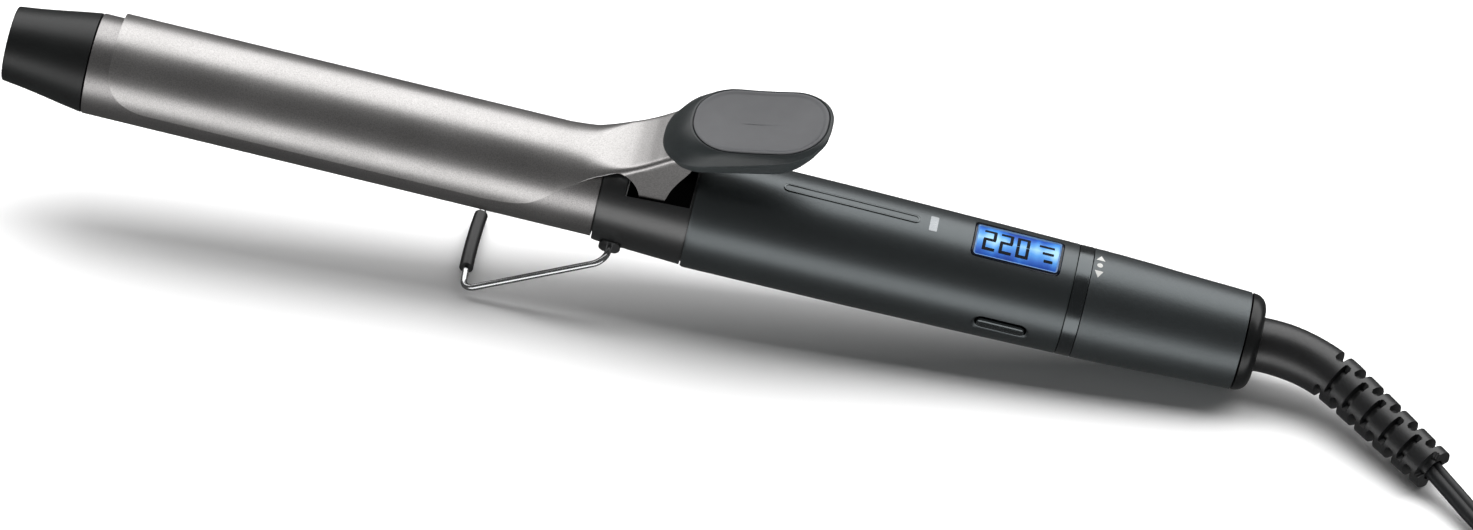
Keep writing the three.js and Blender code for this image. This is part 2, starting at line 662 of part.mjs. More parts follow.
function assembleHandset(group) {
  piece(group, "cool_tip", "coolPlastic", coolTip());
  piece(group, "barrel", "barrelCoating", barrel());
  piece(group, "heat_spreader_upper", "aluminium", heatSpreader(1));
  piece(group, "heat_spreader_lower", "aluminium", heatSpreader(-1));
  piece(group, "ceramic_heater", "ceramic", block([40, 136], [-7, 7], [-1.05, 1.05]));
  piece(group, "thermistor", "brass", rod(1.2, [139.5, 0, 5], [146, 0, 5], 10));
  piece(group, "thermal_fuse", "steelWire", rod(1.9, [139.5, 0, -6.3], [150, 0, -6.3], 10));
  piece(group, "insulating_bush", "ceramic", ring(142, 153, COLLAR.bore - FIT, 9.2, 24));
  piece(group, "hinge_collar", "collarPlastic", hingeCollar());
  piece(group, "hinge_pin", "steelWire", hingePin());
  piece(group, "heater_lead_live", "silicone", heaterLead(-1));
  piece(group, "heater_lead_neutral", "silicone", heaterLead(1));
  piece(group, "handle_sleeve", "softTouch", handleSleeve());
  piece(group, "chassis", "innerPlastic", chassis());
  piece(group, "control_board", "circuitBoard", block([180, 238], [-10.2, 10.2], [-4.1, -2.5]));
  piece(group, "film_capacitor", "filmYellow", block([186, 203], [-4, 4], [-2.2, 6]));
  piece(group, "triac", "component", block([208, 218], [-5, 5], [-2.2, 2]));
  piece(group, "microcontroller", "component", block([224, 233], [-4.5, 4.5], [-2.2, -0.8]));
  piece(group, "display_window", "clearLens", displayWindow());
  piece(group, "lcd_panel", "displayBlue", block([240.2, 261.2], [-5.2, 5.2], [9.9, 11.3]));
  piece(group, "backlight", "lightGuide", block([240.2, 261.2], [-5.6, 5.6], [8.2, 9.6]));
  piece(group, "display_board", "circuitBoard", block([237, 261.6], [-7.6, 7.6], [6.3, 7.9]));
  const switchBody = onFlank(roundedRectangle(6, 6, 0.4), 6.6, 9.6);
  piece(group, "power_switch", "component", switchBody);
  piece(group, "switch_board", "circuitBoard", onFlank(roundedRectangle(16, 7, 0.5), 5, 6.3));
  piece(group, "accent_ring", "glossBlack", ring(RING.front, RING.back, RING.radius, 10.5));
  piece(group, "rear_spindle", "innerPlastic", rearSpindle());
  piece(group, "dial_switch", "component", block([272, 286], [-4.5, 4.5], [0.5, 5.2]));
  piece(group, "end_cap", "collarPlastic", endCap());
  piece(group, "brush_live", "brass", brushLive());
  piece(group, "brush_neutral", "brass", brushNeutral());
}

function assembleClip(group) {
  piece(group, "clip_blade", "clipSteel", clipBlade());
  piece(group, "lever_body", "leverPlastic", leverBody());
  piece(group, "thumb_pad", "padPlastic", thumbPad());
  piece(group, "lever_screw_front", "steelWire", leverScrew(LEVER_SCREWS[0]));
  piece(group, "lever_screw_rear", "steelWire", leverScrew(LEVER_SCREWS[1]));
  piece(group, "clip_spring", "steelWire", clipSpring());
}

function assembleStand(group) {
  piece(group, "stand_wire", "steelWire", standWire());
  piece(group, "stand_sleeve", "coolPlastic", standSleeve());
}

function assembleDial(group) {
  piece(group, "temperature_dial", "softTouch", temperatureDial());
  piece(group, "dial_peg", "steelWire", rod(PEG.radius, [PEG.s, 0, 6], [PEG.s, 0, 11.7], 10));
  piece(group, "dial_return_spring", "steelWire", dialReturnSpring());
}

function assembleSwivel(group) {
  piece(group, "swivel_bush", "innerPlastic", swivelBush());
  piece(group, "slip_ring_live", "brass", slipRing(291));
  piece(group, "slip_ring_neutral", "brass", slipRing(296.5));
}

function assembleCord(group) {
  piece(group, "cord_to_hank", "cordVinyl", freeCord(CORD_ROUTE));
  piece(group, "cord_hank", "cordVinyl", cordHank());
  piece(group, "cord_to_plug", "cordVinyl", freeCord(PLUG_ROUTE));
  piece(group, "cord_tie", "cordVinyl", cordTie());
  piece(group, "plug_relief", "cordVinyl", plugRelief());
  piece(group, "plug_body", "cordVinyl", plugBody());
  piece(group, "plug_pin_left", "brass", plugPin(-1));
  piece(group, "plug_pin_right", "brass", plugPin(1));
}

const handset = new THREE.Group();
assembleHandset(handset);
assembleClip(handset);
assembleStand(handset);
assembleDial(handset);
assembleSwivel(handset);
piece(handset, "power_button", "softTouch", powerButton());
handset.rotation.y = TILT;

// The origin is the middle of the iron's footprint, on the surface that it stands on.
const box = new THREE.Box3().setFromObject(handset, true);
const centre = box.getCenter(new THREE.Vector3());
handset.position.set(-centre.x, 0, -box.min.z);

// The boot shares the handset's frame, swivelled until its end touches the table.
const boot = new THREE.Group();
boot.rotation.copy(handset.rotation);
boot.position.copy(handset.position);
piece(boot, "cord_boot", "cordVinyl", cordBoot()).rotation.x = BOOT_DROOP;

const iron = new THREE.Group();
iron.add(handset, boot);
assembleCord(iron);
export default iron;
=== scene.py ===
import json
import math

import bmesh
import bpy
from mathutils import Matrix, Vector


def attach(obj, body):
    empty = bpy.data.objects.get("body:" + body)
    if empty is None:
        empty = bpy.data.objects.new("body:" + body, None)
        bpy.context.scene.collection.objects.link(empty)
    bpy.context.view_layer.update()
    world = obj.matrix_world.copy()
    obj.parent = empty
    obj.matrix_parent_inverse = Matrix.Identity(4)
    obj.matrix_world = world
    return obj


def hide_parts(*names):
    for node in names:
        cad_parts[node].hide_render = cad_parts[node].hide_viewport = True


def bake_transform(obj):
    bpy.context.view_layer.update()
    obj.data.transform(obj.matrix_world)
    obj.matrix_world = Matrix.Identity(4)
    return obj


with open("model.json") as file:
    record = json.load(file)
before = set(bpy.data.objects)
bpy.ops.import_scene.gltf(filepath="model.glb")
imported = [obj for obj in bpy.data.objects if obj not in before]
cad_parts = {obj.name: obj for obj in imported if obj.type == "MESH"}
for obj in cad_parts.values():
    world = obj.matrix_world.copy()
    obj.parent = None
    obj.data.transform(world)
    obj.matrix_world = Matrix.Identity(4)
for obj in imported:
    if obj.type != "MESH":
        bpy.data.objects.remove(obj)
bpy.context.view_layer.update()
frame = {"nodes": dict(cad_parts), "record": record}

# The iron's own frame, in millimetres: s along its axis from the cool tip, y across it and u
# upwards. The cool tip's flat end in the record gives its origin and its direction.
MM = 0.001
cool_end = next(mount for mount in frame["record"]["mounts"] if mount["name"] == "cool_tip_end")
ALONG = -Vector(cool_end["axis"]).normalized()
ACROSS = Vector((0, 1, 0))
UPWARDS = ALONG.cross(ACROSS)
TURN = Matrix((ALONG, ACROSS, UPWARDS)).transposed().to_4x4()
IRON = Matrix.Translation(cool_end["pos_m"]) @ TURN @ Matrix.Scale(MM, 4)

# Camera: it looks square onto the iron's axis, from 45 degrees above its near side, and is
# turned so that the iron runs down to the right.
DISTANCE = 1.61
ROLL = math.radians(13.6)
AIM = IRON @ Vector((185.2, -7.8, -7.8))
towards_camera = (UPWARDS - ACROSS).normalized()
downwards = -(UPWARDS + ACROSS).normalized()
right = math.cos(ROLL) * ALONG - math.sin(ROLL) * downwards
upright = towards_camera.cross(right)
camera = bpy.data.objects.new("camera", bpy.data.cameras.new("camera"))
camera.data.lens = 161
camera.data.sensor_width = 36
camera.data.clip_end = 20
camera.matrix_world = Matrix((right, upright, towards_camera)).transposed().to_4x4()
camera.location = AIM + DISTANCE * towards_camera
bpy.context.collection.objects.link(camera)
bpy.context.scene.camera = camera


# Studio: a white table top with its own lamp, a soft box over the far side and a strip low in
# front, which draw the two light bands along the barrel, and a weak even light. The strip reaches
# below the table top, which neither shades the iron nor is mirrored in it.
def linear(colour):
    """An sRGB hex colour as the linear colour that a shader takes."""
    channels = [int(colour[k : k + 2], 16) / 255 for k in (1, 3, 5)]
    return (*[c / 12.92 if c <= 0.04045 else ((c + 0.055) / 1.055) ** 2.4 for c in channels], 1)


def add(material, kind, inputs, **settings):
    """Adds a node to a material, with its settings, and sets or links its inputs."""
    node = material.node_tree.nodes.new("ShaderNode" + kind)
    for name, value in settings.items():
        setattr(node, name, value)
    for key, value in inputs.items():
        if isinstance(value, bpy.types.NodeSocket):
            material.node_tree.links.new(value, node.inputs[key])
        else:
            node.inputs[key].default_value = value
    return node


def finish_of(name, colour, roughness, **inputs):
    """A new material with one shader, and that shader's plain values."""
    material = bpy.data.materials.new(name)
    material.use_nodes = True
    shader = material.node_tree.nodes["Principled BSDF"]
    shader.inputs["Base Color"].default_value = linear(colour)
    shader.inputs["Roughness"].default_value = roughness
    for key, value in inputs.items():
        shader.inputs[key.replace("_", " ")].default_value = value
    return material, shader


table_paint, _ = finish_of("matt white laminate", "#f4f4f4", 0.8)
table_top = bmesh.new()
bmesh.ops.create_grid(table_top, x_segments=1, y_segments=1, size=4)
table_mesh = bpy.data.meshes.new("table top")
table_top.to_mesh(table_mesh)
table_top.free()
table_mesh.materials.append(table_paint)
table = bpy.data.objects.new("table_top", table_mesh)
table.location.z = -0.0003
table.visible_glossy = False
table.visible_shadow = False
bpy.context.collection.objects.link(table)


def soft_box(name, angle, distance, width, length, radiance):
    """An area light along the iron, at an angle from straight above it towards the near side."""
    middle = IRON @ Vector((160, 0, 0))
    angle = math.radians(angle)
    outwards = math.cos(angle) * UPWARDS - math.sin(angle) * ACROSS
    data = bpy.data.lights.new(name, "AREA")
    data.shape = "RECTANGLE"
    data.size = length
    data.size_y = width
    data.energy = radiance * math.pi * width * length
    lamp = bpy.data.objects.new(name, data)
    lamp.matrix_world = Matrix((ALONG, outwards.cross(ALONG), outwards)).transposed().to_4x4()
    lamp.location = middle + outwards * distance
    bpy.context.collection.objects.link(lamp)
    return lamp


soft_box("far box", -40, 1.5, 1.75, 5, 2.15)
soft_box("front strip", 100, 1.6, 0.95, 5, 1.9)
table_lamp = soft_box("table lamp", -20, 2.0, 1.3, 3.4, 4.3)
table_alone = bpy.data.collections.new("table alone")
table_alone.objects.link(table)
table_lamp.light_linking.receiver_collection = table_alone
world = bpy.data.worlds.new("studio")
world.use_nodes = True
world.node_tree.nodes["Background"].inputs["Color"].default_value = linear("#ffffff")
world.node_tree.nodes["Background"].inputs["Strength"].default_value = 0.1
bpy.context.scene.world = world
bpy.context.scene.view_settings.view_transform = "Standard"


# Cord: a flat two-core mains flex, 5.2 by 3.2 mm, of black PVC with a groove down each face. It
# comes out of the strain relief, drops to the table and is folded behind it into a tied hank.
def skinned(rings, capped=True):
    """A skin over closed rings of points, which all hold the same number of points."""
    rows, count = len(rings) - 1, len(rings[0])
    bm = bmesh.new()
    bmesh.ops.create_grid(bm, x_segments=count, y_segments=rows, size=0.5)
    for v in bm.verts:
        row, column = round((v.co.y + 0.5) * rows), round((v.co.x + 0.5) * count)
        v.co = rings[row][column % count]
    bmesh.ops.remove_doubles(bm, verts=bm.verts, dist=1e-5)
    if capped:
        open_edges = [edge for edge in bm.edges if edge.is_boundary]
        bmesh.ops.holes_fill(bm, edges=open_edges, sides=0)
    bmesh.ops.recalc_face_normals(bm, faces=bm.faces)
    return bm


SHARP_ANGLE = 35


def round_edges(piece, name, width, steps, angle):
    """Rounds the edges of a piece that are sharper than an angle, to a width in millimetres."""
    rounding = piece.modifiers.new(name, "BEVEL")
    rounding.width = width * MM
    rounding.segments = steps
    rounding.limit_method = "ANGLE"
    rounding.angle_limit = math.radians(angle)
    rounding.harden_normals = True


def part(name, bm, material, edge=0.0, steps=3, place=IRON):
    """Puts a bmesh where it belongs as a piece, shaded smooth, with its sharp edges rounded."""
    bm.transform(place)
    mesh = bpy.data.meshes.new(name)
    bm.to_mesh(mesh)
    bm.free()
    mesh.polygons.foreach_set("use_smooth", [True] * len(mesh.polygons))
    mesh.materials.append(material)
    made = bpy.data.objects.new(name, mesh)
    bpy.context.collection.objects.link(made)
    if edge:
        round_edges(made, "rounded edges", edge, steps, SHARP_ANGLE)
    else:
        mesh.set_sharp_from_angle(angle=math.radians(SHARP_ANGLE))
    return made


def smoothed(points, spacing):
    """Points closely spaced along one smooth curve through the given ones."""
    ends = [2 * points[0] - points[1], *points, 2 * points[-1] - points[-2]]
    result = [points[0].copy()]
    for before, start, end, after in zip(ends, ends[1:], ends[2:], ends[3:]):
        count = max(1, round((end - start).length / spacing))
        for k in range(1, count + 1):
            t = k / count
            bend = 2 * before - 5 * start + 4 * end - after
            twist = 3 * (start - end) + after - before
            result.append(start + 0.5 * (t * (end - before) + t**2 * bend + t**3 * twist))
    return result


def headings(points):
    """The direction of a path at each of its points."""
    spread = zip([points[0], *points[:-1]], [*points[1:], points[-1]])
    return [(after - before).normalized() for before, after in spread]


def mix(a, b, share):
    """A value between two others, eased at both ends, for a share that may pass 0 or 1."""
    t = min(max(share, 0), 1)
    return a + (b - a) * t * t * (3 - 2 * t)


CORD_WIDE, CORD_THICK = 5.2, 3.2
CORD_ROUTE = [
    (202.9, -26, 5.47),
    (208.6, -31.6, 4.4),
    (214.5, -37.3, 3.2),
    (220.5, -42.4, 2.35),
    (227.5, -46.8, 2.15),
    (236, -49.4, 2.15),
    (247.5, -49.6, 2.6),
]
PLUG_ROUTE = [
    (285, -3.4, 9.6),
    (272, 1.4, 11.8),
    (260, 3.1, 13.2),
    (252.2, 1, 13.2),
    (246.6, -4.6, 13.2),
    (244.5, -12.4, 13.2),
    (246.6, -20.2, 13.2),
    (252.2, -25.8, 13.2),
    (260, -27.9, 13.2),
    (270, -27.2, 13.2),
    (281, -24.6, 13.6),
    (291, -22.2, 15.4),
    (297.5, -21.3, 16.9),
    (302.9, -21, 17.7),
    (307, -21, 17.7),
]
HANK_X, HANK_Y, HANK_RUN, HANK_FOLD, HANK_WAIST = 309, -21, 99, 16.5, 4
HANK_PITCH, HANK_TURNS = 3.5, 2.5
LOW_LAYER, HIGH_LAYER, TIE_LIFT = 2.65, 8.0, 0.7


def hank_point(turn):
    """The cord's centre after a number of turns: in on the lower layer, out on the upper one."""
    outward = abs(turn - HANK_TURNS)
    radius = HANK_FOLD + HANK_PITCH * outward
    side, fold = HANK_RUN, math.pi * radius
    way = (turn % 1) * 2 * (side + fold)
    half = HANK_RUN / 2
    far = way >= side + fold
    way -= (side + fold) * far
    if way < side:
        x = way - half
        pinch = (HANK_FOLD - HANK_WAIST) * (1 + math.cos(2 * math.pi * x / HANK_RUN)) / 2
        y = pinch - radius
    else:
        angle = (way - side) / radius
        x, y = half + radius * math.sin(angle), -radius * math.cos(angle)
    x, y = (-x, -y) if far else (x, y)
    height = mix(LOW_LAYER, HIGH_LAYER, (turn - HANK_TURNS) / 0.22)
    lift = TIE_LIFT * math.exp(-((x / 14) ** 2))
    return Vector((HANK_X + x, HANK_Y + y, height + lift))


STEPS_PER_TURN = 60
first_turn, last_turn = 0.0, 2 * HANK_TURNS - 0.325
steps = round((last_turn - first_turn) * STEPS_PER_TURN)
turns = [first_turn + (last_turn - first_turn) * k / steps for k in range(steps + 1)]
cord_exit = Vector(CORD_ROUTE[0])
inside_boot = cord_exit + 3.5 * (cord_exit - Vector(CORD_ROUTE[1])).normalized()
route = [inside_boot, *map(Vector, CORD_ROUTE), *map(hank_point, turns), *map(Vector, PLUG_ROUTE)]
cord_line = smoothed(route, 1.5)


def flat_cord_ring(point, way, edge_on):
    """The outline of two joined cores round a point: flat at edge_on 0, on its edge at 1."""
    side = way.cross(Vector((0, 0, 1))).normalized()
    top = side.cross(way)
    angle = edge_on * math.pi / 2
    wide = math.cos(angle) * side + math.sin(angle) * top
    thin = way.cross(wide)
    core, offset = CORD_THICK / 2, (CORD_WIDE - CORD_THICK) / 2
    ring = []
    for k in range(24):
        c, s = math.cos(math.pi * k / 12), math.sin(math.pi * k / 12)
        reach = abs(c) * offset + math.sqrt(core**2 - (s * offset) ** 2)
        ring.append(point + reach * (c * wide + s * thin))
    return ring


cord_rings = []
for point, way in zip(cord_line, headings(cord_line)):
    cord_rings.append(flat_cord_ring(point, way, mix(0, 1, (point.x - 212) / 34)))

# Plasticised PVC, extruded: even black with a low satin gloss and a faint drawn grain.
def uneven_gloss(material, shader, scale, detail, low, high):
    """Lets a roughness vary between two values, and gives back the noise that it follows."""
    place = add(material, "TexCoord", {}).outputs["Object"]
    noise = add(material, "TexNoise", {"Vector": place, "Scale": scale, "Detail": detail})
    gloss = {"Value": noise.outputs["Fac"], "To Min": low, "To Max": high}
    gloss = add(material, "MapRange", gloss)
    material.node_tree.links.new(gloss.outputs["Result"], shader.inputs["Roughness"])
    return noise


cord_vinyl, shader = finish_of("black PVC extruded", "#1b1c1e", 0.42, Specular_IOR_Level=0.45)
grain = uneven_gloss(cord_vinyl, shader, 1800, 3, 0.36, 0.52)
relief = {"Height": grain.outputs["Fac"], "Strength": 0.25, "Distance": 0.00003}
relief = add(cord_vinyl, "Bump", relief)
cord_vinyl.node_tree.links.new(relief.outputs["Normal"], shader.inputs["Normal"])

METRES = Matrix.Scale(MM, 4)
cord = part("mains_cord", skinned(cord_rings), cord_vinyl, place=METRES)
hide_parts("cord_to_hank", "cord_hank", "cord_to_plug")
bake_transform(cord)


# Cool tip: a hollow cone of black glass-filled nylon that stays cool enough to hold, moulded with
# a fine even texture and pushed into the front of the barrel.
def turned(outline, steps=128):
    """A solid turned about the iron's axis from [s, r] pairs, front to back along the outside."""
    bm = bmesh.new()
    corners = [bm.verts.new((s, 0, r)) for s, r in outline]
    edges = [bm.edges.new(pair) for pair in zip(corners, corners[1:])]
    whole = 2 * math.pi
    bmesh.ops.spin(
        bm, geom=corners + edges, axis=(1, 0, 0), angle=whole, steps=steps, use_merge=True
    )
    bmesh.ops.remove_doubles(bm, verts=bm.verts, dist=1e-4)
    bmesh.ops.recalc_face_normals(bm, faces=bm.faces)
    return bm


def tone_between(material, factor, dark, light, low=0.0, high=1.0):
    """A colour that goes from a dark one to a light one while a factor goes from low to high."""
    tone = add(material, "ValToRGB", {"Fac": factor})
    tone.color_ramp.elements[0].color = linear(dark)
    tone.color_ramp.elements[0].position = low
    tone.color_ramp.elements[1].color = linear(light)
    tone.color_ramp.elements[1].position = high
    return tone


def surface(material, shader, tone, cloud, low, high, fine, depth):
    """Gives a shader its tone, a roughness that follows one noise and a relief by another."""
    gloss = {"Value": cloud.outputs["Fac"], "From Min": 0.3, "From Max": 0.7}
    gloss = add(material, "MapRange", {**gloss, "To Min": low, "To Max": high})
    bump = {"Height": fine.outputs["Fac"], "Strength": 0.5, "Distance": depth * MM}
    bump = add(material, "Bump", bump)
    links = material.node_tree.links
    links.new(tone.outputs["Color"], shader.inputs["Base Color"])
    links.new(gloss.outputs["Result"], shader.inputs["Roughness"])
    links.new(bump.outputs["Normal"], shader.inputs["Normal"])


def moulded(name, dark, light, roughness, grain, depth, **inputs):
    """Moulded plastic: a tone that drifts between two colours, over a grain in millimetres."""
    material, shader = finish_of(name, light, roughness, **inputs)
    place = add(material, "TexCoord", {}).outputs["Object"]
    drift = add(material, "TexNoise", {"Vector": place, "Scale": 60, "Detail": 3, "Roughness": 0.6})
    tone = tone_between(material, drift.outputs["Fac"], dark, light, 0.3, 0.7)
    fine = add(material, "TexNoise", {"Vector": place, "Scale": 1 / (grain * MM), "Detail": 2})
    surface(material, shader, tone, fine, roughness - 0.05, roughness + 0.06, fine, depth)
    return material


cool_nylon = moulded("glass-filled nylon, fine texture", "#090b0b", "#0f1212", 0.42, 0.35, 0.012)
cone = [(0, 0), (0, 9.15), (0.5, 9.3), (5.6, 9.95), (10.5, 10.75), (15.4, 11.62), (20.6, 12.45)]
tip = part("cool_tip_skin", turned([*cone, (20.6, 11), (22, 11), (22, 0)]), cool_nylon, edge=0.35)
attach(tip, "root")
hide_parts("cool_tip")


# Barrel: a 25 mm drawn aluminium tube with a satin ceramic coat, whose fine mineral grain
# sparkles a little and softens every reflection.
def coated_metal(name, dark, light, roughness, grain, depth):
    """Satin metal: a metal colour with a fine blasted grain and a faint slow drift of gloss."""
    material, shader = finish_of(name, light, roughness, Metallic=1.0)
    place = add(material, "TexCoord", {}).outputs["Object"]
    fine = add(material, "TexNoise", {"Vector": place, "Scale": 1 / (grain * MM), "Detail": 3})
    tone = tone_between(material, fine.outputs["Fac"], dark, light, 0.32, 0.62)
    cloud = add(material, "TexNoise", {"Vector": place, "Scale": 45, "Detail": 2})
    surface(material, shader, tone, cloud, roughness - 0.03, roughness + 0.03, fine, depth)
    return material


BARREL_RADIUS = 12.5
ceramic_coat = coated_metal("aluminium, satin ceramic coat", "#8e8c8c", "#a7a5a4", 0.38, 0.26, 0.016)
tube = [(20.9, BARREL_RADIUS), (148.7, BARREL_RADIUS), (148.7, 11.4), (20.9, 11.4)]
barrel = part("barrel_skin", turned([*tube, tube[0]]), ceramic_coat, edge=0.15)
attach(barrel, "root")
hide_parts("barrel")


# Clip: one pressed steel sheet with the same satin coat. Its blade hugs the upper half of the
# barrel, then rises into a flat web between two folded ears, and its tang is inside the lever.
def through(points, at):
    """A smooth curve through [place, value] pairs, read at one place."""
    (x0, y0), (x1, y1) = points[0], points[-1]
    if at <= x0:
        return y0
    if at >= x1:
        return y1
    k = next(k for k in range(len(points) - 1) if at <= points[k + 1][0])
    slopes = [(b[1] - a[1]) / (b[0] - a[0]) for a, b in zip(points, points[1:])]

    def slope(j):
        """The slope at a point, level where the curve turns, so that it never overshoots."""
        before, after = slopes[max(j - 1, 0)], slopes[min(j, len(slopes) - 1)]
        return 0 if before * after <= 0 else 2 * before * after / (before + after)

    (x0, y0), (x1, y1) = points[k], points[k + 1]
    width = x1 - x0
    t = (at - x0) / width
    start, end = slope(k) * width, slope(k + 1) * width
    rise = y1 - y0
    return y0 + start * t + (3 * rise - 2 * start - end) * t**2 + (start + end - 2 * rise) * t**3


CLIP_FRONT, SHEET = 26.3, 0.9
CORNER_LONG, CORNER_HIGH = 10.7, 9.7
FLAT_SHARE, FORMED_FROM, FORMED_LONG = 0.3, 138, 14
CROWN = [(138, 13.75), (143, 13.85), (147, 14.25), (150, 14.9), (154, 16.5), (158, 19)]
CROWN += [(161.5, 21.7), (165, 24.3), (170, 25.75), (181, 28.9)]
BLADE_EDGE = [(122, 0), (128, 0.6), (132, 1.7), (135.5, 4), (138.7, 6.6), (142, 8.7), (148, 12.4)]
EAR_FRONT = [(153.2, 14.8), (154.6, 14.2), (156.4, 12.6), (157.8, 10.4), (158.3, 8.6), (158.6, 5)]
EAR_EYE = [(159.2, 3.2), (160.5, 2.6), (161.9, 3.2), (163.4, 5)]
EAR_BACK = [(164.2, 8), (164.7, 10), (165.4, 12.8), (166.7, 16), (168.6, 19.6), (170.8, 24)]
LOWER_EDGE = [*BLADE_EDGE, *EAR_FRONT, *EAR_EYE, *EAR_BACK, (182, 27.3)]
HALF_WIDTH = [(138, 13.75), (144, 12.9), (148, 11.2), (150, 10.4), (152.6, 9.7), (156, 9.5)]
BEND_RADIUS = [(138, 13.75), (144, 11.2), (148, 6.5), (150, 4.2), (152.6, 2.2), (156, 1.6)]


def clip_point(s, across):
    """A point of the pressed sheet, for a share from -1 to 1 across it."""
    crown, radius = through(CROWN, s), through(BEND_RADIUS, s)
    flat, centre = through(HALF_WIDTH, s) - radius, crown - radius
    edge = through(LOWER_EDGE, s)
    if s < CLIP_FRONT + CORNER_LONG:
        left = (CLIP_FRONT + CORNER_LONG - s) / CORNER_LONG
        edge = CORNER_HIGH * (1 - math.sqrt(max(1 - left**2, 0)))
    arc = radius * math.acos(min(max((edge - centre) / radius, 0), 1))
    drop = max(centre - edge, 0)
    share = abs(across)
    corner_end = 0.55 + 0.45 * (1 - min(drop / 3, 1))
    if share < FLAT_SHARE:
        run = flat * share / FLAT_SHARE
    elif share < corner_end:
        run = flat + arc * (share - FLAT_SHARE) / (corner_end - FLAT_SHARE)
    else:
        run = flat + arc + drop * (share - corner_end) / max(1 - corner_end, 0.01)
    formed = mix(0, 1, (s - FORMED_FROM) / FORMED_LONG)
    run = formed * run + (1 - formed) * share * (flat + arc + drop)
    if run <= flat:
        y, u = run, crown
    elif run <= flat + radius * math.pi / 2:
        angle = (run - flat) / radius
        y, u = flat + radius * math.sin(angle), centre + radius * math.cos(angle)
    else:
        y, u = flat + radius, centre - (run - flat - radius * math.pi / 2)
    return Vector((s, math.copysign(y, across), u))


stations = [CLIP_FRONT + CORNER_LONG * (1 - math.cos(math.pi * k / 32)) for k in range(16)]
stations += [37 + 5 * k for k in range(17)]
stations += [120 + 0.5 * k for k in range(64)]
stations += [152 + 0.25 * k for k in range(80)]
stations += [172 + k for k in range(10)]
COLUMNS = 60
clip_sheet = bmesh.new()
bmesh.ops.create_grid(clip_sheet, x_segments=COLUMNS, y_segments=len(stations) - 1, size=0.5)
for v in clip_sheet.verts:
    s = stations[round((v.co.y + 0.5) * (len(stations) - 1))]
    v.co = clip_point(s, round((v.co.x + 0.5) * COLUMNS) * 2 / COLUMNS - 1)
clip_sheet.normal_update()
if sum(face.normal.z for face in clip_sheet.faces) < 0:
    bmesh.ops.reverse_faces(clip_sheet, faces=clip_sheet.faces)
coated_steel = coated_metal("pressed steel, satin coat", "#9f9d9c", "#bab8b7", 0.36, 0.26, 0.016)
blade = part("clip_sheet", clip_sheet, coated_steel)
# The sheet's cut edges get a near-white steel colour, a painted highlight along the rim.
edge_painted_highlight = coated_metal("steel edge, painted highlight", "#e6e5e4", "#f8f8f7", 0.45, 0.3, 0.004)
edge_painted_highlight.node_tree.nodes["Principled BSDF"].inputs["Metallic"].default_value = 0.6
blade.data.materials.append(edge_painted_highlight)
wall = blade.modifiers.new("sheet thickness", "SOLIDIFY")
wall.thickness = SHEET * MM
wall.offset = -1
wall.material_offset_rim = 1
round_edges(blade, "rolled edge", 0.22, 2, 50)
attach(blade, "clip")
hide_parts("clip_blade")


# Lever: a dark moulded finger rest, hollow underneath, that slips over the clip's tang. Its
# rounded nose runs down to the web, and its flanks turn in below a crisp edge.
LEVER_S, LEVER_U, LEVER_SLOPE = 185, 34, math.radians(16)
LEVER = IRON @ Matrix.Translation((LEVER_S, 0, LEVER_U)) @ Matrix.Rotation(-LEVER_SLOPE, 4, "Y")


def rounded_plan(front, back, half, radius, corner_steps=14, side_steps=6):
    """Points round a rectangle with round corners, the same number whatever its size."""
    corners = [(back, half, 0), (front, half, 90), (front, -half, 180), (back, -half, 270)]
    points = []
    for x, y, start in corners:
        cx, cy = x - math.copysign(radius, x - (front + back) / 2), y - math.copysign(radius, y)
        for k in range(corner_steps + 1):
            angle = math.radians(start + 90 * k / corner_steps)
            points.append((cx + radius * math.cos(angle), cy + radius * math.sin(angle)))
        nx, ny = corners[(corners.index((x, y, start)) + 1) % 4][:2]
        nx, ny = nx - math.copysign(radius, nx - (front + back) / 2), ny - math.copysign(radius, ny)
        angle = math.radians(start + 90)
        ends = (points[-1], (nx + radius * math.cos(angle), ny + radius * math.sin(angle)))
        for k in range(1, side_steps):
            t = k / side_steps
            points.append(tuple(a + (b - a) * t for a, b in zip(*ends)))
    return points


def curl(a):
    """How far the lever's top curls up towards its nose."""
    return 0.0052 * min(a, 0) ** 2


def lever_ring(front, back, half, radius, rear_height, nose_height, curled=0.0):
    """A ring round the lever that runs down from its rear to its nose, less where it curls."""
    ring = []
    for a, y in rounded_plan(front, back, half, radius):
        share = (back - a) / (back - front)
        height = rear_height + (nose_height - rear_height) * share
        ring.append(Vector((a, y, height + curled * curl(a))))
    return ring


lever_rings = [
    lever_ring(-18.5, 14.5, 11.15, 10.15, -3, -3, 1),
    lever_ring(-18.5, 14.5, 11.15, 10.15, -0.1, -0.1, 1),
    lever_ring(-18.8, 14.75, 11.35, 10.3, 0.05, 0.05, 1),
    lever_ring(-19.2, 14.85, 11.45, 10.4, 0, -0.1, 1),
    lever_ring(-23, 15.1, 12, 10.9, -0.2, -2.3, 0.7),
    lever_ring(-26.3, 15.35, 12.5, 11.3, -0.6, -5, 0.3),
    lever_ring(-26.5, 15.3, 12.45, 11.4, -0.9, -5.4, 0.3),
    lever_ring(-26, 14.2, 11.5, 10.7, -3.1, -6.4),
    lever_ring(-25.7, 12.6, 11, 10.2, -5.2, -6.9),
    lever_ring(-25.4, 11, 10.6, 9.9, -6.8, -7.2),
    lever_ring(-25.1, 10.4, 10.4, 9.7, -7, -7.3),
    lever_ring(-24.3, 9.4, 9.95, 9.3, -7, -7.2),
    lever_ring(-24.3, 9.4, 9.95, 9.3, -4.2, -4.2),
]
edge_start, edge_end = lever_rings[4:6], lever_rings[6:8]
lever_rings.insert(7, [p.lerp(q, 0.12) for p, q in zip(*edge_end)])
lever_rings.insert(5, [p.lerp(q, 0.9) for p, q in zip(*edge_start)])
lever_nylon = moulded("dark nylon, satin moulded", "#2b2f30", "#34393a", 0.38, 0.3, 0.006)
lever = part("lever_shell", skinned(lever_rings), lever_nylon, edge=0.12, place=LEVER)
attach(lever, "clip")
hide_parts("lever_body")


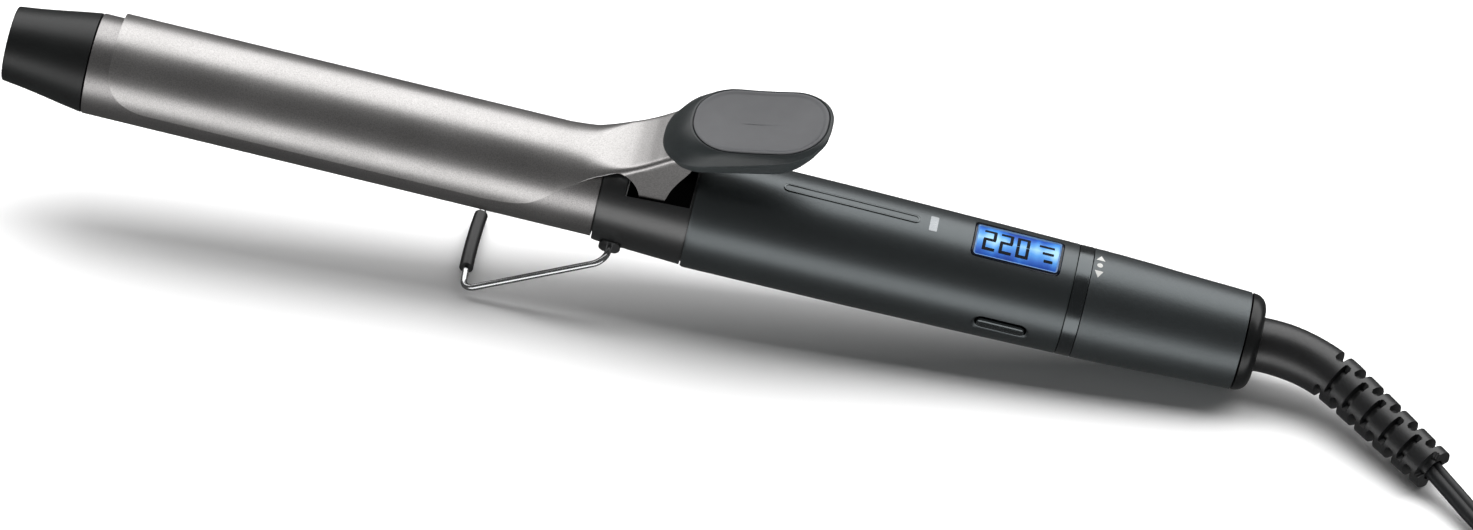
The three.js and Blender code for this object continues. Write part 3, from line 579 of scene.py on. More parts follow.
# Thumb pad: a grey plate pressed into the lever's top, slightly dished for the thumb, with a
# fine spark-eroded surface and a softened rim.
PAD_FRONT, PAD_BACK, PAD_HALF, PAD_CORNER = -18.35, 14.35, 11.02, 10.02
DISH_EDGE, DISH_DEPTH, DISH_REACH = 0.16, 0.75, 10.9


def pad_ring(inset, height):
    """A ring on the pad at a distance in from its edge, curled up like the lever's top."""
    corner = max(PAD_CORNER - inset, 0.1)
    ring = rounded_plan(PAD_FRONT + inset, PAD_BACK - inset, PAD_HALF - inset, corner)
    return [Vector((a, y, height + curl(a))) for a, y in ring]


pad_rings = [pad_ring(0, -2.6), pad_ring(0, -0.1), pad_ring(0.1, 0.1)]
pad_rings += [pad_ring(0.35, 0.22), pad_ring(0.7, 0.22)]
for inset in (1.1, 1.6, 2.5, 4, 6, 8, 9.5, 10.4, 10.85):
    dish = DISH_DEPTH * (1 - (1 - inset / DISH_REACH) ** 2)
    pad_rings.append(pad_ring(inset, DISH_EDGE - dish))
pad_abs = moulded("grey ABS, spark-eroded mould", "#535457", "#5e5f62", 0.4, 0.25, 0.004)
pad = part("thumb_pad_plate", skinned(pad_rings), pad_abs, place=LEVER)
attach(pad, "clip")
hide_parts("thumb_pad")


# Lever screws: two pan-head steel screws with a cross recess, driven up through the tang.
def carved(body, *tools, operation="DIFFERENCE"):
    """A bmesh with other bmeshes cut out of it, or joined to it."""
    shapes = []
    for bm in (body, *tools):
        mesh = bpy.data.meshes.new("blank")
        bm.to_mesh(mesh)
        bm.free()
        shapes.append(bpy.data.objects.new("blank", mesh))
        bpy.context.collection.objects.link(shapes[-1])
    for tool in shapes[1:]:
        cut = shapes[0].modifiers.new("cut", "BOOLEAN")
        cut.object = tool
        cut.operation = operation
        cut.solver = "EXACT"
    bm = bmesh.new()
    bm.from_object(shapes[0], bpy.context.evaluated_depsgraph_get())
    for shape in shapes:
        mesh = shape.data
        bpy.data.objects.remove(shape)
        bpy.data.meshes.remove(mesh)
    return bm


def block(low, high):
    """A box between two corners."""
    bm = bmesh.new()
    bmesh.ops.create_cube(bm, size=1)
    middle = (Vector(low) + Vector(high)) / 2
    bmesh.ops.scale(bm, verts=bm.verts, vec=Vector(high) - Vector(low))
    bmesh.ops.translate(bm, verts=bm.verts, vec=middle)
    return bm


zinc_steel, _ = finish_of("zinc-plated steel", "#c9cbcc", 0.24, Metallic=1.0)
for name, at in (("lever_screw_front", -14.6), ("lever_screw_rear", -8.4)):
    head = [(-6.2, 0), (-6.2, 1.3), (-5.9, 1.75), (-5.4, 1.98), (-5, 2), (-5, 1), (-2.1, 1), (-2.1, 0)]
    screw = carved(
        turned(head, 32),
        block((-6.4, -1.1, -0.22), (-5.6, 1.1, 0.22)),
        block((-6.4, -0.22, -1.1), (-5.6, 0.22, 1.1)),
    )
    screw.transform(Matrix.Translation((at, 0, 0)) @ Matrix.Rotation(-math.pi / 2, 4, "Y"))
    screw = part(name + "_cross_head", screw, zinc_steel, edge=0.06, steps=2, place=LEVER)
    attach(screw, "clip")
    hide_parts(name)


# Collar: the black hinge housing behind the barrel. A pocket in its top takes the clip's ears
# and spring, a ledge runs along each side of the pocket, and an oval boss on each flank holds
# one end of the stand.
def prism(corners, depth):
    """A flat outline given a depth, from lists of points and one vector."""
    bm = bmesh.new()
    face = bm.faces.new([bm.verts.new(corner) for corner in corners])
    grown = bmesh.ops.extrude_face_region(bm, geom=[face])["geom"]
    moved = [item for item in grown if isinstance(item, bmesh.types.BMVert)]
    bmesh.ops.translate(bm, verts=moved, vec=depth)
    bmesh.ops.recalc_face_normals(bm, faces=bm.faces)
    return bm


COLLAR_FRONT, COLLAR_BACK, POCKET = 149.05, 171.35, 10.3
BOSS_S, BOSS_U, BOSS_LONG, BOSS_HIGH = 154, -7.5, 2.7, 1.75
collar_body = [(COLLAR_FRONT, 11.4), (COLLAR_FRONT, 13.1), (150.4, 13.3)]
collar_body += [(150.4 + 2.6 * k, 13.3 + 0.113 * k) for k in range(1, 8)]
collar_body += [(COLLAR_BACK, 14.2), (COLLAR_BACK, 13.3), (COLLAR_BACK + 1.2, 13.3), (COLLAR_BACK + 1.2, 0)]
collar_body += [(154.2, 0), (154.2, 10.6), (146.5, 10.6), (146.5, 11.3), (COLLAR_FRONT, 11.3)]
pocket = block((154.9, -POCKET, 0.6), (COLLAR_BACK - 0.3, POCKET, 20))
collar_bm = carved(turned(collar_body), pocket)
for side in (-1, 1):
    boss = rounded_plan(BOSS_S - BOSS_LONG, BOSS_S + BOSS_LONG, BOSS_HIGH, 1.7)
    boss = [Vector((s, side * 9.5, u + BOSS_U)) for s, u in boss]
    collar_bm = carved(collar_bm, prism(boss, (0, side * 3, 0)), operation="UNION")
    ledge = block((165.9, side * 10 - 0.4, 7.5), (COLLAR_BACK - 0.2, side * 10 + 0.4, 8.2))
    collar_bm = carved(collar_bm, ledge, operation="UNION")
collar_nylon = moulded(
    "black nylon, fine texture", "#07090a", "#0d1011", 0.34, 0.35, 0.008, IOR=1.6, Specular_IOR_Level=0.9
)
collar = part("hinge_housing", collar_bm, collar_nylon, edge=0.1)
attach(collar, "root")
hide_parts("hinge_collar")


# Pocket shade: a thin matt black sheet on the pocket's floor, painted shade that keeps the floor
# as dark as the shade that the web and lever cast into the pocket.
# The sheet's near-black, matt finish is painted shade.
painted_shade_cloth = moulded("matt black sheet, painted shade", "#030303", "#080808", 0.9, 0.5, 0.05, Specular_IOR_Level=0.1)
shade_sheet_bm = block((155.2, 0.1 - POCKET, 0.65), (COLLAR_BACK - 0.5, POCKET - 0.1, 0.95))
shade_sheet = part("pocket_painted_shade", shade_sheet_bm, painted_shade_cloth)
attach(shade_sheet, "root")


# Hinge pin: a ground steel pin through the collar and both ears.
HINGE_S, HINGE_U, PIN_RADIUS, PIN_LONG = 160.5, 5.5, 1.25, 23.2
pin_bm = bmesh.new()
bmesh.ops.create_cone(
    pin_bm, cap_ends=True, segments=40, radius1=PIN_RADIUS, radius2=PIN_RADIUS, depth=PIN_LONG
)
pin_place = Matrix.Translation((HINGE_S, 0, HINGE_U)) @ Matrix.Rotation(math.pi / 2, 4, "X")
pin_bm.transform(pin_place)
pin = part("hinge_pin_ground", pin_bm, zinc_steel, edge=0.25)
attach(pin, "root")
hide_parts("hinge_pin")


# Clip spring: music wire wound round the pin, with one arm on the pocket's floor and the other
# under the web.
def wire_rings(line, radius, sides, first):
    """Rings round a path of a wire, turned as little as possible from one to the next."""
    rings, across = [], first
    for point, way in zip(line, headings(line)):
        across = (across - across.dot(way) * way).normalized()
        above = way.cross(across)
        angles = [2 * math.pi * k / sides for k in range(sides)]
        rings.append([point + radius * (math.cos(a) * across + math.sin(a) * above) for a in angles])
    return rings


SPRING_WIRE, SPRING_COIL, SPRING_TURNS, SPRING_HALF = 0.45, 2.25, 5.25, 4.2
spring_line = [Vector((155.9, -SPRING_HALF, 1.6))]
for k in range(127):
    angle = -math.pi / 2 - 2 * math.pi * SPRING_TURNS * k / 126
    x, z = HINGE_S + SPRING_COIL * math.cos(angle), HINGE_U + SPRING_COIL * math.sin(angle)
    spring_line.append(Vector((x, SPRING_HALF * (2 * k / 126 - 1), z)))
spring_line.append(Vector((159.3, SPRING_HALF, 18.2)))
spring_bm = skinned(wire_rings(spring_line, SPRING_WIRE, 10, Vector((0, 1, 0.3))))
spring = part("clip_spring_wire", spring_bm, zinc_steel)
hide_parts("clip_spring")
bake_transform(spring)


# Stand: one length of hard-drawn chromed wire, bent to a loop whose ends turn in the bosses.
STAND_LEG, STAND_REACH, STAND_WIRE = 39.1, 17.5, 0.82
STAND_ANGLE, SLEEVE_HALF, BOW = math.radians(32.9), 9.7, 1


def stand_corner(y):
    """A place on the stand's crosspiece, which bows out towards its middle."""
    leg = STAND_LEG + BOW * (1 - (y / STAND_REACH) ** 2)
    return Vector((BOSS_S - leg * math.cos(STAND_ANGLE), y, BOSS_U - leg * math.sin(STAND_ANGLE)))


def bent(corners, radius, steps=8):
    """A path along straight runs, with an arc of the given radius at each inner corner."""
    line = [corners[0]]
    for before, corner, after in zip(corners, corners[1:], corners[2:]):
        back, on = (before - corner).normalized(), (after - corner).normalized()
        half = back.angle(on) / 2
        centre = corner + (back + on).normalized() * radius / math.sin(half)
        first = corner + back * radius / math.tan(half) - centre
        last = corner + on * radius / math.tan(half) - centre
        turn = first.angle(last)
        for k in range(steps + 1):
            before_it, after_it = math.sin(turn * (1 - k / steps)), math.sin(turn * k / steps)
            line.append(centre + (first * before_it + last * after_it) / math.sin(turn))
    return [*line, corners[-1]]


stand_corners = [
    Vector((BOSS_S, -9, BOSS_U)),
    Vector((BOSS_S, -STAND_REACH, BOSS_U)),
    *[stand_corner(STAND_REACH * k) for k in (-1, -0.55, -0.2, 0.2, 0.55, 1)],
    Vector((BOSS_S, STAND_REACH, BOSS_U)),
    Vector((BOSS_S, 9, BOSS_U)),
]
chrome, shader = finish_of("chromed spring steel", "#c4c5c6", 0.2, Metallic=1.0)
uneven_gloss(chrome, shader, 900, 2, 0.14, 0.26)
stand_bm = skinned(wire_rings(bent(stand_corners, 3.6), STAND_WIRE, 20, Vector((1, 0, 0))))
stand = part("stand_loop_wire", stand_bm, chrome)
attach(stand, "stand")
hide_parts("stand_wire")


# Stand sleeve: black silicone tube pushed over the crosspiece, so that the stand grips the table.
sleeve_line = [stand_corner(SLEEVE_HALF * k / 10) for k in range(-10, 11)]
outer = wire_rings(sleeve_line, 1.72, 28, Vector((1, 0, 0)))
hollow = wire_rings(sleeve_line, STAND_WIRE + 0.03, 28, Vector((1, 0, 0)))
silicone = moulded("black silicone tube", "#090a0a", "#101112", 0.36, 0.4, 0.01)
sleeve_bm = skinned([hollow[0], *outer, hollow[-1]], capped=False)
sleeve = part("stand_sleeve_tube", sleeve_bm, silicone, edge=0.2)
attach(sleeve, "stand")
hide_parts("stand_sleeve")


# Handle: a one-piece ABS sleeve with a soft-touch lacquer, matt with a broad sheen. It has a
# window for the display in its top, and a shallow dish round the power button on its flank.
HANDLE_OUTSIDE = [(172.3, 14.6), (205, 14.5), (225, 14.3), (244, 14.05), (265.5, 13.7)]
HANDLE_FRONT, HANDLE_SPACING = 172.3, 3.11


def handle_radius(s):
    """The handle's outside radius at a place along the iron."""
    return through(HANDLE_OUTSIDE, s)


handle_outline = [(171.65, 13.5), (171.65, 14.3)]
for k in range(30):
    s = HANDLE_FRONT + HANDLE_SPACING * k
    handle_outline.append((s, handle_radius(s)))
handle_outline += [(265.5, 13.7), (265.5, 12), (173.5, 12.3), (173.5, 13.5), (171.65, 13.5)]
WINDOW_FRONT, WINDOW_BACK, WINDOW_HALF, WINDOW_Y = 239.6, 261.8, 5.65, -0.3
BUTTON_S, BUTTON_ANGLE, BUTTON_LONG, BUTTON_WIDE = 251, math.radians(96), 12, 3
FLANK = Matrix.Translation((BUTTON_S, 0, 0)) @ Matrix.Rotation(BUTTON_ANGLE, 4, "X")


def obround(length, width, height):
    """The outline of a slot with round ends, at a height above the iron's axis."""
    radius = width / 2 - 0.01
    ends = rounded_plan(-length / 2, length / 2, width / 2, radius, 10, 2)
    return [Vector((x, y, height)) for x, y in ends]


gap = 0.12
window_plan = rounded_plan(WINDOW_FRONT - gap, WINDOW_BACK + gap, WINDOW_HALF + gap, 1.3)
window_cut = prism([Vector((s, y + WINDOW_Y, 11.5)) for s, y in window_plan], (0, 0, 5))
slot_cut = prism(obround(BUTTON_LONG + 1.1, BUTTON_WIDE + 1.1, 10), (0, 0, 6))
slot_cut.transform(FLANK)
dish_rings = [obround(13.15, 4.15, 13.35), obround(13.6, 4.6, 13.5), obround(14.6, 5.6, 14.05)]
dish_cut = skinned([*dish_rings, obround(16, 7, 15)])
dish_cut.transform(FLANK)
handle_bm = carved(turned(handle_outline), window_cut, dish_cut)
handle_bm = carved(handle_bm, slot_cut)
dense_lacquer = {"IOR": 1.7, "Specular_IOR_Level": 1.0, "Specular_Tint": linear("#e2ebee")}
soft_touch = moulded(
    "ABS, soft-touch lacquer", "#0a0d0e", "#111516", 0.37, 0.28, 0.02, **dense_lacquer
)
handle = part("handle_shell", handle_bm, soft_touch, edge=0.1)
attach(handle, "root")
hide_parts("handle_sleeve")


# Trim: a slim raised frame in the handle's lacquer, polished, and a small bar of satin nickel
# foil behind it. Both lie on the crown of the handle and carry no lettering.
def on_crown(bm, radius_at, proud):
    """Lays a flat shape on the crown of a round piece, a little proud of it."""
    for v in bm.verts:
        v.co.z += math.sqrt(radius_at(v.co.x) ** 2 - v.co.y**2) + proud
    return bm


def crown_plate(plan, thick):
    """A thin plate with the outline of a plan, cut finely enough to be bent over a crown."""
    bm = prism([Vector((s, y, -thick)) for s, y in plan], (0, 0, thick))
    bmesh.ops.subdivide_edges(bm, edges=bm.edges, cuts=1, use_grid_fill=True)
    bmesh.ops.triangulate(bm, faces=[face for face in bm.faces if len(face.verts) > 4])
    return bm


polished_lacquer = moulded(
    "ABS, polished lacquer", "#0c0e0f", "#131516", 0.18, 0.3, 0.002, **dense_lacquer
)
TRIM_MIDDLE, TRIM_HALF = 209, 15.75
frame_rings = []
for half, proud in ((1.35, -0.3), (1.35, 0.12), (1.2, 0.2), (1.0, 0.2), (0.85, 0.12), (0.85, -0.3)):
    front, back = TRIM_MIDDLE - TRIM_HALF - half, TRIM_MIDDLE + TRIM_HALF + half
    plan = rounded_plan(front, back, half, half - 0.02, 6, 12)
    frame_rings.append([Vector((s, y, proud)) for s, y in plan])
trim_bm = skinned([*frame_rings, frame_rings[0]], capped=False)
trim = part("trim_frame", on_crown(trim_bm, handle_radius, 0), polished_lacquer)
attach(trim, "root")

nickel_foil = coated_metal("satin nickel foil", "#84878a", "#a0a3a5", 0.34, 0.15, 0.003)
bar_plan = rounded_plan(228.5, 230.5, 2.5, 0.25, 5, 6)
bar_bm = crown_plate(bar_plan, 0.3)
trim_bar = part("trim_bar", on_crown(bar_bm, handle_radius, 0.05), nickel_foil, edge=0.05, steps=2)
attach(trim_bar, "root")


# Display window: a clear polycarbonate lens printed with a blue-black border on its back, flush
# with the handle, with a bevel that slopes down to the panel, painted light blue as a highlight.
def window_ring(inset, radius):
    """A ring round the window at a distance in from its edge and a radius from the axis."""
    corner = max(1.4 - inset, 0.4)
    plan = rounded_plan(
        WINDOW_FRONT + inset, WINDOW_BACK - inset, WINDOW_HALF - inset, corner, 6, 10
    )
    return [Vector((s, y + WINDOW_Y, math.sqrt(radius**2 - (y + WINDOW_Y) ** 2))) for s, y in plan]


window_rings = [window_ring(0, 12.9), window_ring(0, 13.85), window_ring(0.12, 13.98)]
window_rings += [window_ring(0.55, 13.98), window_ring(0.6, 13.9), window_ring(0.6, 12.9)]
border_print, shader = finish_of("polycarbonate over blue-black print", "#0b1324", 0.15)
uneven_gloss(border_print, shader, 300, 1, 0.1, 0.22)
border_bm = skinned([*window_rings, window_rings[0]], capped=False)
border = part("display_border", border_bm, border_print, edge=0.06)
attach(border, "root")
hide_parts("display_window")

bevel_rings = [window_ring(0.62, 13.3), window_ring(0.62, 13.88), window_ring(1.0, 13.62)]
bevel_rings += [window_ring(1.0, 13.3), bevel_rings[0]]
# The bevel's light blue is a painted highlight, standing in for light caught on the lens edge.
bevel_painted_highlight = moulded("polycarbonate bevel, painted highlight", "#5f8fc9", "#7da9dc", 0.3, 0.3, 0.003)
bevel_bm = skinned(bevel_rings, capped=False)
bevel = part("display_bevel", bevel_bm, bevel_painted_highlight)
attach(bevel, "root")


# Liquid crystal panel: a backlit blue panel behind the lens, curved like the handle. A painted
# reflection makes it brightest along its middle, with pale slanting streaks, under a satin
# polariser.
def panel_point(v, half_s, half_y, radius):
    """A point of the panel, which is curved like the handle."""
    s = (WINDOW_FRONT + WINDOW_BACK) / 2 + v.co.x * 2 * half_s
    y = v.co.y * 2 * half_y + WINDOW_Y
    return Vector((s, y, math.sqrt(radius**2 - y**2)))


PANEL_RADIUS = 13.6
panel_bm = bmesh.new()
bmesh.ops.create_grid(panel_bm, x_segments=4, y_segments=24, size=0.5)
for v in panel_bm.verts:
    v.co = panel_point(v, 10.3, 4.8, PANEL_RADIUS)
panel_bm.normal_update()
grown = bmesh.ops.extrude_face_region(panel_bm, geom=panel_bm.faces[:], use_keep_orig=True)["geom"]
sunk = [item for item in grown if isinstance(item, bmesh.types.BMVert)]
bmesh.ops.translate(panel_bm, verts=sunk, vec=(0, 0, -0.6))
bmesh.ops.recalc_face_normals(panel_bm, faces=panel_bm.faces)
lcd_blue, shader = finish_of("backlit liquid crystal, painted reflection", "#1d55a8", 0.3, Specular_IOR_Level=0.3)
shader.inputs["Emission Strength"].default_value = 0.4
place = add(lcd_blue, "TexCoord", {}).outputs["Object"]
panel_centre = IRON @ Vector(((WINDOW_FRONT + WINDOW_BACK) / 2, 0, 13.7))
centred = add(lcd_blue, "VectorMath", {0: place, 1: tuple(panel_centre)}, operation="SUBTRACT")
turned_about = {"Vector": centred.outputs["Vector"], "Rotation": (0, 0, math.radians(-24))}
slanted = add(lcd_blue, "Mapping", {**turned_about, "Scale": (95, 18, 18)})
streaks = {"Vector": slanted.outputs["Vector"], "Scale": 1.6, "Detail": 2, "Roughness": 0.45}
streaks = add(lcd_blue, "TexNoise", streaks)
# Painted reflection: the panel's colour is lightest along its middle and darker towards its sides.
across = add(lcd_blue, "SeparateXYZ", {"Vector": centred.outputs["Vector"]}).outputs["Y"]
off_middle = add(lcd_blue, "Math", {0: across}, operation="ABSOLUTE").outputs["Value"]
painted_reflection_band = {"Value": off_middle, "From Min": 0, "From Max": 4.6 * MM, "To Min": 0.24, "To Max": -0.14}
painted_reflection_band = add(lcd_blue, "MapRange", painted_reflection_band)
glow_with_painted_reflection = add(lcd_blue, "Math", {0: streaks.outputs["Fac"], 1: painted_reflection_band.outputs["Result"]})
tone = tone_between(lcd_blue, glow_with_painted_reflection.outputs["Value"], "#123c96", "#a3d6f6", 0.36, 0.84)
for position, colour in ((0.5, "#1c5cba"), (0.66, "#4795e0")):
    tone.color_ramp.elements.new(position).color = linear(colour)
lcd_blue.node_tree.links.new(tone.outputs["Color"], shader.inputs["Base Color"])
# The painted reflection is fed to the emission too, so it glows with the backlight.
lcd_blue.node_tree.links.new(tone.outputs["Color"], shader.inputs["Emission Color"])
panel = part("liquid_crystal_panel", panel_bm, lcd_blue)
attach(panel, "root")
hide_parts("lcd_panel")


# Segments: the panel's black seven-segment figures, set to a temperature of 220, and three level
# bars beside them that shorten towards the near side.
ink, _ = finish_of("black liquid crystal segment", "#040a18", 0.6, Specular_IOR_Level=0.15)
DIGIT_HIGH, DIGIT_WIDE, STROKE, DIGIT_PITCH = 6.6, 3.2, 0.8, 4.15
DIGITS = {"2": "abged", "0": "abcdef"}


def segment_bars(left, letters):
    """The bars of one figure as front, back, low and high edges. Its top is on the far side."""
    half, w, t, gap = DIGIT_HIGH / 2, DIGIT_WIDE, STROKE, 0.08
    bars = {
        "a": (gap, w - gap, half - t, half),
        "g": (gap, w - gap, -t / 2, t / 2),
        "d": (gap, w - gap, -half, t - half),
        "f": (0, t, gap, half - gap),
        "b": (w - t, w, gap, half - gap),
        "e": (0, t, gap - half, -gap),
        "c": (w - t, w, gap - half, -gap),
    }
    return [(left + bars[k][0], left + bars[k][1], bars[k][2], bars[k][3]) for k in letters]


bars = []
for k, figure in enumerate("220"):
    bars += segment_bars(242 + k * DIGIT_PITCH, DIGITS[figure])
for middle, length in ((2.1, 3.8), (-0.2, 2.8), (-2.5, 2.2)):
    bars.append((259.6 - length, 259.6, middle - 0.38, middle + 0.38))
for k, (front, back, low, high) in enumerate(bars):
    x, y = (front + back) / 2, (low + high) / 2
    plan = rounded_plan(front - x, back - x, high - y, 0.1, 2, 3)
    plan = [(s + x, across + y + WINDOW_Y) for s, across in plan]
    bar_bm = on_crown(crown_plate(plan, 0.1), lambda s: PANEL_RADIUS, 0.06)
    bar = part(f"display_segment_{k + 1}", bar_bm, ink)
    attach(bar, "root")


# Power button: an ABS bar with round ends and a domed top, in the polished lacquer, which
# stands up through the slot in its dish.
def button_ring(inset, height):
    """The button's outline at a distance in from its edge and a height above the axis."""
    return obround(BUTTON_LONG - 2 * inset, BUTTON_WIDE - 2 * inset, height)


button_rings = [button_ring(0, 11.4), button_ring(0, 13.65)]
for angle in (0.35, 0.7, 1.05, 1.4):
    button_rings.append(button_ring(0.9 * (1 - math.cos(angle)), 13.65 + 0.55 * math.sin(angle)))
button_rings += [button_ring(1.15, 14.23), button_ring(1.4, 14.24)]
button = part("power_button_cap", skinned(button_rings), polished_lacquer, place=IRON @ FLANK)
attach(button, "power_button")
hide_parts("power_button")


# Accent ring: a polished black ABS ring between the handle and the dial.
gloss_abs, shader = finish_of("black ABS, polished", "#07090a", 0.24, **dense_lacquer)
uneven_gloss(gloss_abs, shader, 400, 2, 0.18, 0.28)
ring_outline = [(265.7, 13.69), (269.3, 13.67), (269.3, 10.6), (265.7, 10.6), (265.7, 13.69)]
accent = part("accent_band", turned(ring_outline), gloss_abs, edge=0.15)
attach(accent, "root")
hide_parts("accent_ring")


# Dial: the rear of the grip, a soft-touch sleeve that twists to set the temperature, with a
# slightly coarser lacquer than the handle's.
DIAL_OUTSIDE = [(269.4, 13.65), (273, 13.6), (283, 13.28), (293, 12.8), (303, 12.42), (309.3, 12.15)]
DIAL_FRONT, DIAL_SPACING = 269.4, 2.66


def dial_radius(s):
    """The dial's outside radius at a place along the iron."""
    return through(DIAL_OUTSIDE, s)


dial_outline = [(DIAL_FRONT, 10.6)]
for k in range(16):
    s = DIAL_FRONT + DIAL_SPACING * k
    dial_outline.append((s, dial_radius(s)))
dial_outline += [(309.3, 10.6), (DIAL_FRONT, 10.6)]
dial_lacquer = moulded(
    "ABS, soft-touch lacquer, dial", "#0c0f10", "#141819", 0.41, 0.4, 0.035, **dense_lacquer
)
dial = part("dial_sleeve", turned(dial_outline), dial_lacquer, edge=0.2)
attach(dial, "temperature_dial")
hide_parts("temperature_dial")


# Dial marks: two triangles and a dot in white pad-printed ink, on the crown beside the ring.
white_ink, _ = finish_of("white pad-printed ink", "#f2f2ee", 0.5)
MARK_S, MARK_STEP, MARK_SIZE = 271.1, 2.7, 1.28


def mark_plan(corners, y, size):
    """A regular outline with a number of corners, whose first one points to the far side."""
    angles = [math.pi / 2 + 2 * math.pi * k / corners for k in range(corners)]
    return [(MARK_S + size * math.cos(a), y + size * math.sin(a)) for a in angles]


marks = {
    "dial_mark_up": mark_plan(3, MARK_STEP - 0.25, MARK_SIZE),
    "dial_mark_set": mark_plan(24, 0, 0.72),
    "dial_mark_down": [(s, -y) for s, y in mark_plan(3, MARK_STEP - 0.25, MARK_SIZE)],
}
for name, plan in marks.items():
    mark = part(name, on_crown(crown_plate(plan, 0.1), dial_radius, 0.03), white_ink)
    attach(mark, "temperature_dial")


# End cap: a black nylon cap with a rounded rim that snaps into the rear of the spindle and
# keeps the swivel in.
RIM, CAP_FRONT, CAP_BACK = 3.3, 309.65, 313.4
cap_outline = [(307, 7.2), (307, 8.4), (CAP_FRONT, 8.4), (CAP_FRONT, 12.08)]
for k in range(9):
    angle = math.pi / 2 * k / 8
    cap_outline.append((CAP_BACK - RIM + RIM * math.sin(angle), 12.05 - RIM + RIM * math.cos(angle)))
cap_outline += [(CAP_BACK, 7.3), (307, 7.2)]
cap_nylon = moulded("black nylon, satin cap", "#070909", "#0c0e0f", 0.33, 0.3, 0.005)
cap = part("rear_cap", turned(cap_outline), cap_nylon, edge=0.12)
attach(cap, "root")
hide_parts("end_cap")


# Strain relief: a black PVC elbow moulded on the swivel. Past the bend, slots cut into it from
# four sides by turns let it flex, and a plain collar ends it.
BOOT_FRONT, BOOT_LEAD, BOOT_RISE, BOOT_DROOP = 307, 5.53, math.radians(6.5), math.radians(4.2)
BOOT_CURVE, BOOT_BEND, BOOT_STRAIGHT = 32.74, math.radians(38.5), 30.69
SLOT_FIRST, SLOT_PITCH, SLOT_TURN, SLOT_PAIRS = 26.8, 6.28, math.radians(38), 6
BOOT = IRON @ Matrix.Rotation(BOOT_DROOP, 4, "X")
bend_length = BOOT_CURVE * (BOOT_BEND + BOOT_RISE)
boot_length = BOOT_LEAD + bend_length + BOOT_STRAIGHT


def boot_place(run):
    """The centre and direction of the strain relief at a distance along it."""
    out = Vector((math.cos(BOOT_RISE), math.sin(BOOT_RISE), 0))
    start = Vector((BOOT_FRONT, -0.51, 0)) + out * min(run, BOOT_LEAD)
    if run <= BOOT_LEAD:
        return start, out
    angle = min(run - BOOT_LEAD, bend_length) / BOOT_CURVE - BOOT_RISE
    way = Vector((math.cos(angle), -math.sin(angle), 0))
    side = Vector((math.sin(angle), math.cos(angle), 0))
    bend = (side - Vector((-math.sin(BOOT_RISE), math.cos(BOOT_RISE), 0))) * BOOT_CURVE
    return start + bend + way * max(run - BOOT_LEAD - bend_length, 0), way


def boot_radius(run, angle):
    """The strain relief's radius at a distance along it and an angle round it."""
    ends = [(0, 6.7), (12, 6.7), (22, 6.5), (28, 6.4), (boot_length, 5.55)]
    radius = through(ends, run)
    for k in range(2 * SLOT_PAIRS):
        middle = SLOT_FIRST + SLOT_PITCH * k / 2
        half_turn, wide, deep = (0.6, 1.8, 2.2) if k % 2 else (0.75, 2.3, 1.9)
        facing = SLOT_TURN + math.pi / 2 * (k % 2 == 0)
        off = abs((angle - facing + math.pi / 2) % math.pi - math.pi / 2)
        if math.hypot(run - middle, max(off - half_turn, 0) * radius) < wide / 2:
            return radius - deep
    return radius


BOOT_SIDES, BOOT_STEP = 128, 0.2
boot_rings = []
for k in range(round(boot_length / BOOT_STEP) + 1):
    run = min(k * BOOT_STEP, boot_length)
    centre, way = boot_place(run)
    outer_side = Vector((way.y, -way.x, 0))
    ring = []
    for j in range(BOOT_SIDES):
        angle = 2 * math.pi * j / BOOT_SIDES
        out = math.cos(angle) * Vector((0, 0, 1)) + math.sin(angle) * outer_side
        ring.append(centre + out * boot_radius(run, angle))
    boot_rings.append(ring)
centre, way = boot_place(boot_length)
outer_side = Vector((way.y, -way.x, 0))
for back, radius in ((0, 2.95), (2.2, 2.9)):
    angles = [2 * math.pi * j / BOOT_SIDES for j in range(BOOT_SIDES)]
    outs = [math.cos(a) * Vector((0, 0, 1)) + math.sin(a) * outer_side for a in angles]
    boot_rings.append([centre - way * back + out * radius for out in outs])
boot_vinyl = moulded(
    "black PVC, moulded", "#111112", "#18191a", 0.38, 0.45, 0.012, Specular_IOR_Level=0.8
)
boot = part("strain_relief", skinned(boot_rings), boot_vinyl, place=BOOT)
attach(boot, "cord_swivel")
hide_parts("cord_boot")


# Tie: a strap of hook-and-loop tape round the waist of the hank, its end lapped over on top.
TIE_HALF, TIE_WIDE, TIE_TOP = 16.4, 5, 11.5


def tie_ring(x, grow):
    """The strap's outline round the hank at a place along it, grown by a distance."""
    plan = rounded_plan(-TIE_HALF - grow, TIE_HALF + grow, TIE_TOP / 2 + grow, 3.2 + grow, 8, 4)
    return [Vector((HANK_X + x, HANK_Y + y, 0.95 + (TIE_TOP - 0.4) / 2 + z)) for y, z in plan]


tie_weave, shader = finish_of("nylon hook-and-loop tape", "#17181a", 0.85)
shader.inputs["Sheen Weight"].default_value = 0.4
shader.inputs["Sheen Roughness"].default_value = 0.4
place = add(tie_weave, "TexCoord", {}).outputs["Object"]
loops = add(tie_weave, "TexVoronoi", {"Vector": place, "Scale": 1400})
bump = {"Height": loops.outputs["Distance"], "Strength": 0.8, "Distance": 0.0003}
bump = add(tie_weave, "Bump", bump)
tone = tone_between(tie_weave, loops.outputs["Distance"], "#1e2022", "#0d0e0f")
tie_weave.node_tree.links.new(bump.outputs["Normal"], shader.inputs["Normal"])
tie_weave.node_tree.links.new(tone.outputs["Color"], shader.inputs["Base Color"])
tie_rings = [tie_ring(-TIE_WIDE, 0), tie_ring(-TIE_WIDE, -0.6)]
tie_rings += [tie_ring(TIE_WIDE, -0.6), tie_ring(TIE_WIDE, 0)]
tie_bm = skinned([*tie_rings, tie_rings[0]], capped=False)
tie = part("hank_strap", tie_bm, tie_weave, edge=0.15, place=METRES)
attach(tie, "root")
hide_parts("cord_tie")


